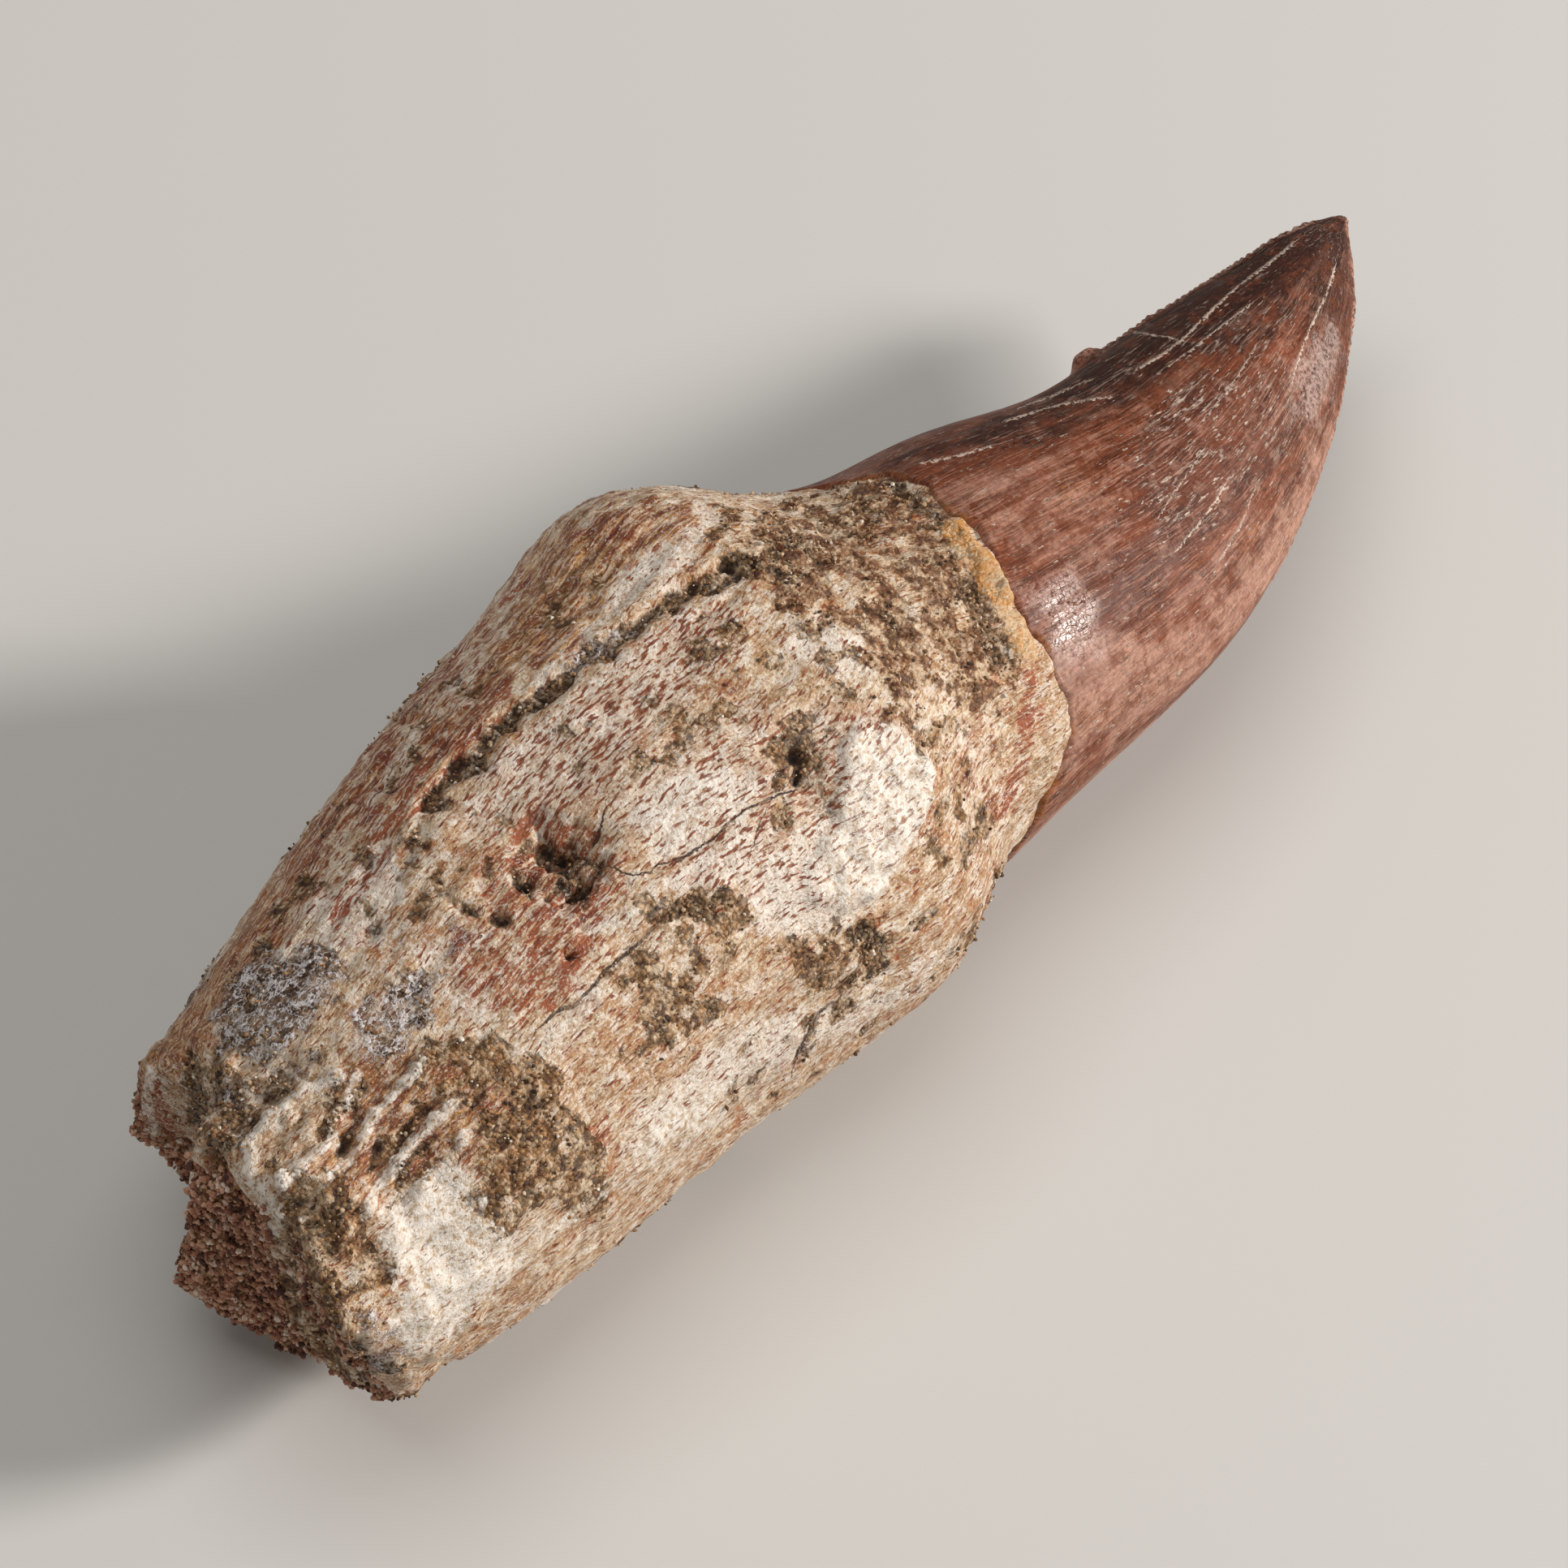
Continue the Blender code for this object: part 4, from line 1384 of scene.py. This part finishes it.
CROWN_THREADS: tuple[FineLine, ...] = (
    FineLine("thread_a", ((1400, 458), (1430, 440), (1455, 422), (1490, 388), (1530, 352), (1560, 330),
                          (1590, 305)), width=3.0, depth=-0.04),
    FineLine("thread_b", ((1427, 462), (1470, 432), (1500, 408), (1540, 378)), width=2.0, depth=-0.02),
    FineLine("thread_c", ((1590, 470), (1600, 436), (1612, 405), (1633, 362), (1640, 335)),
             width=2.8, depth=-0.03),
    FineLine("thread_d", ((1448, 678), (1475, 645), (1495, 618), (1506, 598)), width=2.8, depth=-0.03),
    FineLine("thread_e", ((1136, 574), (1180, 564), (1224, 551)), width=2.4, depth=-0.02),
    FineLine("thread_f", ((1238, 522), (1290, 505), (1330, 497), (1368, 490)), width=2.0, depth=-0.02),
    FineLine("thread_g", ((1255, 506), (1300, 490), (1345, 470)), width=1.6, depth=-0.01),
    FineLine("thread_h", ((1399, 412), (1425, 416), (1448, 420)), width=1.8, depth=-0.02),
    FineLine("thread_i", ((1425, 640), (1450, 600), (1480, 560)), width=1.6, depth=-0.01),
    FineLine("thread_j", ((1500, 690), (1525, 650), (1545, 600)), width=1.6, depth=-0.01),
    FineLine("thread_k", ((1480, 520), (1520, 470), (1545, 430)), width=1.6, depth=-0.01),
)


CROWN_MARKS: dict[Zone, tuple[Mark, ...]] = {
    # Dark enamel along the upper side, deepened with painted shade where that side turns away from the key
    # light.
    Zone.SHADE: (
        Area(((1100, 570), (1240, 500), (1345, 420), (1450, 330), (1550, 260), (1650, 240), (1680, 300),
              (1640, 340), (1585, 385), (1530, 430), (1450, 470), (1380, 490), (1300, 535), (1220, 570)),
             soft=46, ragged=26),
        Area(((1600, 300), (1665, 280), (1690, 420), (1660, 500), (1610, 440)),
             strength=0.6, soft=40, ragged=20),
        Area(((1120, 560), (1240, 510), (1290, 520), (1260, 580), (1190, 600)),
             strength=0.5, soft=30, ragged=20),
    ),
    Zone.ASH_AND_GLINTS: (
        # Painted glints: this small area's white flecks stand in for the sparkle of a highlight near the tip.
        Area(((1595, 440), (1640, 400), (1650, 440), (1625, 520), (1598, 510)), strength=0.9, soft=12),
        Area(((1400, 520), (1480, 460), (1560, 430), (1610, 470), (1570, 560), (1500, 640), (1440, 690),
              (1400, 640), (1380, 560)), strength=0.9, soft=26, ragged=24),
    ),
    Zone.BLUSH: (
        Area(((1170, 610), (1240, 560), (1340, 560), (1380, 640), (1350, 720), (1280, 720), (1230, 670)),
             strength=0.55, soft=30, ragged=30),
        Area(((1270, 790), (1340, 770), (1420, 800), (1400, 860), (1320, 880)),
             strength=0.5, soft=26, ragged=20),
        Area(((1260, 800), (1340, 770), (1430, 790), (1500, 720), (1580, 610), (1640, 500), (1680, 520),
              (1600, 700), (1450, 860), (1300, 960), (1240, 900)), strength=0.9, soft=26, ragged=24),
    ),
    Zone.FLAME: (
        Area(((1450, 700), (1500, 695), (1530, 720), (1500, 765), (1450, 750)), strength=0.8, ragged=20),
        Area(((1500, 640), (1570, 600), (1590, 640), (1530, 700)), strength=0.5, ragged=20),
        Area(((1165, 600), (1215, 595), (1225, 640), (1180, 650)), strength=0.5, ragged=20),
    ),
    # Glossy marks: less rough, and with a pale painted highlight laid into their colour.
    Zone.GLOSS_AND_HIGHLIGHT: (
        Area(((1270, 730), (1320, 715), (1350, 750), (1345, 800), (1300, 810)), soft=22, ragged=20),
        Area(((1590, 520), (1600, 450), (1640, 400), (1650, 430), (1620, 520)), strength=0.8, soft=16),
    ),
}


class EnamelPatterns:
    """The noises and the drawn amounts that the enamel's colour, roughness and relief share."""

    def __init__(self, graph: Graph) -> None:
        """Builds the patterns' nodes in a graph."""
        self.graph = graph
        self.zones = {zone: graph.number(zone.value) for zone in CROWN_ZONES}
        self.tip, self.flank, self.ridge, self.lip = map(graph.number, ("tip", "flank", "ridge", "lip"))
        self.place = graph.place()
        self.blotch = graph.noise(self.place, 3.2, 4.0, 0.62)
        self.cloud = graph.noise(self.place, 1.1, 5.0, 0.7)
        self.speck = graph.noise(self.place, 0.26, 3.0, 0.65)
        self.grain = graph.grain()
        self.band = graph.noise(self.grain, (18.0, 2.0, 2.0), 3.0, 0.55)
        self.streak = graph.noise(self.grain, (6.0, 0.8, 0.8), 4.0, 0.65)
        self.hair = graph.noise(self.grain, (1.7, 0.13, 0.13), 2.0, 0.6)
        self.uneven = (self.streak - 0.5) * 1.4 + (self.blotch - 0.5)
        self.tufts = self.blotch.step(0.4, 0.58)
        self.add_white_marks()

    def add_white_marks(self) -> None:
        """Adds the flecks, some of them painted glints, the veins and the drawn threads."""
        ash_and_glints = self.zones[Zone.ASH_AND_GLINTS]
        crumb = self.graph.noise(self.grain, (0.8, 0.3, 0.3), 5.0, 0.72)
        # The ash-grey marks get more white flecks; in the small area near the tip these are painted glints.
        self.fleck = (crumb + 0.05 * ash_and_glints + 0.02 * self.zones[Zone.BLUSH]).step(0.62, 0.65)
        middle = abs(self.graph.noise(self.grain, (9.0, 1.5, 1.5), 3.0, 0.55) - 0.5)
        amount = 0.15 + 0.8 * (ash_and_glints | 0.45 * self.zones[Zone.SHADE])
        self.vein = middle.step(0.02, 0.006) * self.blotch.step(0.44, 0.54) * crumb.step(0.44, 0.52) * amount
        self.thread = self.graph.lines(CROWN_THREADS, self.speck, 12.0, 0.7) * self.speck.step(0.34, 0.5)


@dataclass(frozen=True)
class EnamelFinish:
    """Glossy fossil enamel: red-brown, with fine striae, white threads, pale flecks, a painted highlight and
    painted glints.
    """

    brown: Colour = srgb(118, 60, 34)
    dark: Colour = srgb(46, 17, 7)
    red: Colour = srgb(148, 84, 56)
    pink: Colour = srgb(198, 152, 132)
    tan: Colour = srgb(178, 114, 70)
    grey: Colour = srgb(106, 65, 51)
    # Pale pinkish white of the painted highlight on the glossy marks.
    painted_highlight: Colour = srgb(210, 180, 170)
    white: Colour = srgb(222, 200, 184)
    ochre: Colour = srgb(170, 104, 46)
    speck_shade: Colour = (0.5, 0.44, 0.4)

    def material(self) -> bpy.types.Material:
        """Builds the finish's material."""
        enamel = EnamelPatterns(Graph("fossil enamel"))
        colour = self.streaked(enamel, self.ground(enamel))
        colour = self.whitened(enamel, colour)
        return enamel.graph.finish(colour, self.roughness(enamel), self.relief(enamel),
                                   {"Specular IOR Level": 0.24})

    def ground(self, enamel: EnamelPatterns) -> Value:
        """The broad areas: red-brown, grey, pink, ochre and the dark upper side, which is dark enamel and
        partly painted shade.
        """
        mix, zones, uneven = enamel.graph.mix, enamel.zones, enamel.uneven
        blotch, blush = enamel.blotch, zones[Zone.BLUSH]
        colour = mix(enamel.streak.step(0.38, 0.62), self.brown, self.red)
        colour = mix((zones[Zone.ASH_AND_GLINTS] + uneven).step(0.3, 0.9) * 0.6, colour, self.grey)
        pinkish = mix(blotch.step(0.46, 0.64) * (1.0 - 0.6 * blush), self.pink, self.tan)
        colour = mix(((enamel.flank | blush) + uneven).step(0.2, 1.0) * 0.9, colour, pinkish)
        flame = zones[Zone.FLAME] + (blotch - 0.5) * 3.0 + (enamel.speck - 0.5)
        colour = mix(flame.step(0.4, 0.8) * 0.7, colour, self.ochre)
        return mix(((zones[Zone.SHADE] | enamel.tip) + uneven).step(0.1, 0.95) * 0.92, colour, self.dark)

    def streaked(self, enamel: EnamelPatterns, colour: Value) -> Value:
        """Lays bands, fine striae, clouds and the painted highlight on the glossy marks over a colour."""
        mix, hair, band, cloud = enamel.graph.mix, enamel.hair, enamel.band, enamel.cloud
        blush, lit = enamel.zones[Zone.BLUSH], 1.0 - enamel.zones[Zone.SHADE]
        colour = mix(band.step(0.5, 0.62) * (0.5 - 0.3 * blush), colour, self.dark)
        colour = mix(band.step(0.46, 0.36) * 0.4 * lit, colour, self.pink)
        striae = hair.step(0.51, 0.57) * (0.14 + 0.5 * enamel.tufts) * (1.0 - 0.4 * blush)
        colour = mix(striae, colour, self.dark)
        colour = mix(hair.step(0.44, 0.37) * (0.1 + 0.35 * lit), colour, self.pink)
        colour = mix(cloud.step(0.53, 0.62) * 0.26 * lit, colour, self.pink)
        colour = mix(cloud.step(0.48, 0.38) * 0.6, colour, self.brown)
        # Painted highlight: a pale haze over the glossy marks.
        return mix(enamel.zones[Zone.GLOSS_AND_HIGHLIGHT] * enamel.speck.step(0.3, 0.6) * 0.8, colour, self.painted_highlight)

    def whitened(self, enamel: EnamelPatterns, colour: Value) -> Value:
        """Lays flecks, veins, threads, the cutting edges and the ochre lip over a colour."""
        mix, tint, speck = enamel.graph.mix, enamel.graph.tint, enamel.speck
        colour = mix(enamel.fleck * 0.8, colour, self.white)
        colour = mix(enamel.vein * 0.8, colour, self.white)
        colour = mix(enamel.ridge * speck.step(0.4, 0.55) * 0.8, colour, self.pink)
        colour = mix(enamel.thread * 0.85, colour, self.white)
        colour = mix(enamel.lip * enamel.blotch.step(0.46, 0.56) * 0.6, colour, self.ochre)
        return tint(0.65, colour, mix(speck.step(0.3, 0.66), self.speck_shade, NO_TINT))

    @staticmethod
    def roughness(enamel: EnamelPatterns) -> Value:
        """How rough the enamel is: least on the glossy marks, most on the dark side and the threads."""
        drawn = 0.25 * enamel.zones[Zone.SHADE] - 0.35 * enamel.zones[Zone.GLOSS_AND_HIGHLIGHT] + 0.2 * enamel.thread
        return 0.52 + drawn + 0.3 * (enamel.speck - 0.5) + 0.15 * (enamel.streak - 0.5)

    @staticmethod
    def relief(enamel: EnamelPatterns) -> Value:
        """The enamel's fine relief in millimetres."""
        raised = enamel.streak * 0.045 + enamel.hair * 0.012 + enamel.speck * 0.02
        raised = raised + enamel.fleck * 0.02 + (enamel.thread | enamel.vein) * 0.03
        crackle = enamel.graph.cell_edges(enamel.place, 0.34).step(0.1, 0.0)
        return raised - crackle * (0.012 * enamel.tufts + 0.02 * enamel.zones[Zone.GLOSS_AND_HIGHLIGHT])


@dataclass(frozen=True)
class Carina:
    """A toothed cutting edge along the crown."""

    points: tuple[tuple[float, float, float], ...]
    height: float
    reach: float
    pitch: float

    def amount(self, points: np.ndarray) -> np.ndarray:
        """1 on the edge, 0 away from it."""
        corners = [np.array(p) for p in self.points]
        nearest = np.full(len(points), FAR_AWAY)
        for a, b in zip(corners, corners[1:]):
            run = b - a
            t = np.clip((points - a) @ run / (run @ run), 0.0, 1.0)
            nearest = np.minimum(nearest, np.linalg.norm(points - a - t[:, None] * run, axis=1))
        return smooth(-nearest, -self.reach, 0.0)

    def relief(self, along: np.ndarray, amount: np.ndarray, wave: np.ndarray) -> np.ndarray:
        """How far the edge and its small teeth raise each point.

        Args:
            along: Each point's place along the tooth.
            amount: How close each point is to the edge.
            wave: Noise that makes the teeth uneven.

        Returns:
            One height for each point.
        """
        teeth = 0.5 + 0.5 * np.sin(math.tau * (along / self.pitch + 0.8 * wave))
        return self.height * amount * (0.25 + 0.6 * teeth + 0.3 * wave)


CARINAE: tuple[Carina, ...] = (
    Carina(((29.3, 2.25, 14.1), (30.9, 2.2, 13.8), (34.1, 1.9, 13.2), (37.0, 1.6, 12.8),
            (40.1, 1.2, 12.2), (43.0, 0.9, 11.6), (45.0, 0.3, 11.4)), height=0.3, reach=0.75, pitch=0.55),
    Carina(((25.1, -13.2, 10.8), (28.2, -12.3, 10.9), (31.0, -11.3, 10.9), (34.1, -10.0, 10.8),
            (37.0, -8.6, 10.8), (40.2, -6.8, 10.7), (43.0, -4.9, 10.6), (46.1, -1.6, 10.8)),
           height=0.16, reach=0.6, pitch=0.5),
)


@dataclass
class Crown:
    """The enamel crown, from just under the root's end to the tip."""

    cell: float = 0.204
    passes: int = 7
    starts_at: float = 1.6
    ends_at: float = 60.0
    sunk_in_root: float = 0.5
    proud: float = 0.12
    flutes: float = 0.1
    striae: float = 0.04
    point_from: float = 40.0
    point_length: float = 1.4
    point_narrowing: float = 0.62
    point_middle: tuple[float, float] = (-0.4, 10.4)
    chip: tuple[float, float, float] = (28.4, 2.4, 14.0)
    chip_half: tuple[float, float, float] = (1.3, 0.9, 0.9)
    chip_lift: float = 0.7
    finish: EnamelFinish = field(default_factory=EnamelFinish)
    skin: Skin = field(init=False)

    def build(self) -> bpy.types.Object:
        """Shapes, colours and places the crown."""
        skin = self.skin = Skin("crown_enamel", self.starts_at, self.ends_at, self.cell, self.passes)
        grain = AXIS.straightened(skin.points)
        places = SHEET.places(skin.points)
        facing = SHEET.facing(skin.points, skin.normals)
        ragged = field_of(skin.points, 1.4, octaves=3, seed=7.0)
        past_margin = MARGIN.beyond(skin.points) + 0.3 * ragged
        zones, _ = draw_marks(CROWN_MARKS, places, 0.9 * ragged, facing)
        numbers, relief = draw_lines(CROWN_THREADS, places, facing)
        numbers |= {zone.value: amount for zone, amount in zones.items()}
        numbers |= self.sides(grain, facing)
        numbers["lip"] = smooth(-np.abs(past_margin), -0.5, -0.1)
        numbers["ridge"], edges = self.cutting_edges()
        skin.raise_by(relief + edges + self.enamel_relief(grain, smooth(past_margin, -0.25, 0.15)))
        self.draw_out_point()
        skin.carry("grain", grain)
        for name, values in numbers.items():
            skin.carry(name, values)
        return skin.place_in_scene(self.finish.material())

    def sides(self, grain: np.ndarray, facing: np.ndarray) -> dict[str, np.ndarray]:
        """How far each point belongs to the dark tip and to the pink lower side."""
        along = self.skin.points[:, 0]
        tip = smooth(along, 30.0, 47.0) * (1.0 - 0.6 * facing)
        flank = smooth(-grain[:, 1], 2.5, 10.0) * smooth(-along, -34.0, -14.0) * (1.0 - 0.7 * facing)
        return {"tip": tip, "flank": flank}

    def enamel_relief(self, grain: np.ndarray, shown: np.ndarray) -> np.ndarray:
        """The enamel's step over the bone, with long flutes and fine striae.

        Args:
            grain: Each point's place on the straightened tooth.
            shown: 1 where the enamel shows, 0 where the root covers it.

        Returns:
            One height for each point.
        """
        flutes = self.flutes * field_of(grain, (16.0, 2.4, 2.4), octaves=2, seed=13.0)
        striae = self.striae * field_of(grain, (6.0, 0.7, 0.7), octaves=2, seed=17.0)
        return shown * (self.proud + flutes + striae) - self.sunk_in_root * (1 - shown)

    def cutting_edges(self) -> tuple[np.ndarray, np.ndarray]:
        """The two toothed edges and the chip on the upper one.

        Returns:
            How much each point belongs to them, and how far they raise it.
        """
        points = self.skin.points
        off = (points - np.array(self.chip)) / np.array(self.chip_half)
        ridge = smooth(-np.linalg.norm(off, axis=1), -1.1, -0.3)
        heights = self.chip_lift * ridge
        wave = field_of(points, 1.2, octaves=2, seed=23.0)
        for carina in CARINAE:
            amount = carina.amount(points)
            heights += carina.relief(points[:, 0], amount, wave)
            ridge = np.maximum(ridge, smooth(amount, 0.3, 0.8))
        return ridge, heights

    def draw_out_point(self) -> None:
        """Makes the tip longer and slimmer."""
        along = self.skin.points[:, 0]
        share = np.clip((along - self.point_from) / (along.max() - self.point_from), 0.0, 1.0)
        moved = self.skin.points.copy()
        moved[:, 0] += self.point_length * share**2
        for k, middle in enumerate(self.point_middle, 1):
            moved[:, k] += self.point_narrowing * share**4 * (middle - moved[:, k])
        self.skin.move_to(moved)


# Stage


@dataclass(frozen=True)
class Lamp:
    """A soft square light, whose direction is so much of the sheet's right, of its up, and of overhead."""

    name: str
    rightwards: float
    upwards: float
    overhead: float
    distance: float
    size: float
    power: float
    colour: Colour

    def build(self, aim: Vector) -> None:
        """Adds the light, facing aim."""
        data = bpy.data.lights.new(self.name, "AREA")
        data.shape = "SQUARE"
        data.size = self.size
        data.energy = self.power
        data.color = self.colour
        lamp = bpy.data.objects.new(self.name, data)
        right, up, _ = SHEET.axes()
        towards = right * self.rightwards + up * self.upwards + Vector((0, 0, self.overhead))
        direction = towards.normalized()
        lamp.location = aim + direction * self.distance
        lamp.rotation_euler = direction.to_track_quat("Z", "Y").to_euler()
        bpy.context.scene.collection.objects.link(lamp)


LAMPS: tuple[Lamp, ...] = (
    Lamp("key light", rightwards=0.9, upwards=0.0, overhead=0.42, distance=0.8, size=0.15, power=6.6,
         colour=(1.0, 0.96, 0.92)),
    Lamp("fill light", rightwards=-0.1, upwards=0.1, overhead=1.0, distance=0.9, size=0.7, power=3.2,
         colour=(1.0, 0.98, 0.95)),
)


@dataclass(frozen=True)
class Studio:
    """The pale floor, the soft lights and the camera."""

    floor_half: float = 2.0
    floor_colour: Colour = srgb(214, 212, 208)
    floor_blotch: Colour = srgb(200, 198, 194)
    sky: float = 0.16
    sensor: float = 36.0
    nearest: float = 0.01

    def build(self) -> None:
        """Builds the whole stage."""
        self.add_floor()
        aim = Vector(SHEET.aim) * MM
        for lamp in LAMPS:
            lamp.build(aim)
        self.add_sky()
        self.add_camera(aim)

    def add_sky(self) -> None:
        """Adds a weak white light from all round, and plain display colours."""
        world = bpy.data.worlds.new("soft sky")
        world.use_nodes = True
        background = world.node_tree.nodes["Background"]
        background.inputs["Color"].default_value = (1.0, 1.0, 1.0, 1.0)
        background.inputs["Strength"].default_value = self.sky
        bpy.context.scene.world = world
        bpy.context.scene.view_settings.view_transform = "Standard"

    def add_floor(self) -> None:
        """Adds the floor under the tooth."""
        bm = bmesh.new()
        bmesh.ops.create_grid(bm, x_segments=1, y_segments=1, size=self.floor_half)
        mesh = bpy.data.meshes.new("floor")
        bm.to_mesh(mesh)
        bm.free()
        g = Graph("floor paper")
        tone = g.noise(g.place(), 40.0, 2.0)
        colour = g.mix(tone * 0.06, self.floor_colour, self.floor_blotch)
        paper = g.finish(colour, 0.9, tone * 0.02, {"Specular IOR Level": 0.2})
        dressed(mesh, "floor", paper)

    def add_camera(self, aim: Vector) -> None:
        """Adds the camera at the sheet's viewpoint."""
        data = bpy.data.cameras.new("camera")
        data.sensor_width = self.sensor
        data.lens = SHEET.unit * SHEET.distance / SHEET.side * self.sensor
        data.clip_start = self.nearest
        camera = bpy.data.objects.new("camera", data)
        right, up, back = SHEET.axes()
        turn = Matrix((right, up, back)).transposed().to_4x4()
        camera.matrix_world = Matrix.Translation(aim + back * SHEET.distance * MM) @ turn
        bpy.context.scene.collection.objects.link(camera)
        bpy.context.scene.camera = camera


def settle(piece: bpy.types.Object) -> None:
    """Gives a finished piece its body, hides the imported part that it stands for, and logs its faces."""
    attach(piece, BODY)
    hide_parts(NODE)
    LOG.info("%s: %d faces", piece.name, len(piece.data.polygons))


def main() -> None:
    """Builds the stage and the tooth's pieces."""
    Studio().build()
    root = Root()
    settle(root.build())
    for piece in sand_on(root):
        settle(piece)
    settle(Crown().build())


if __name__ == "__main__":
    main()
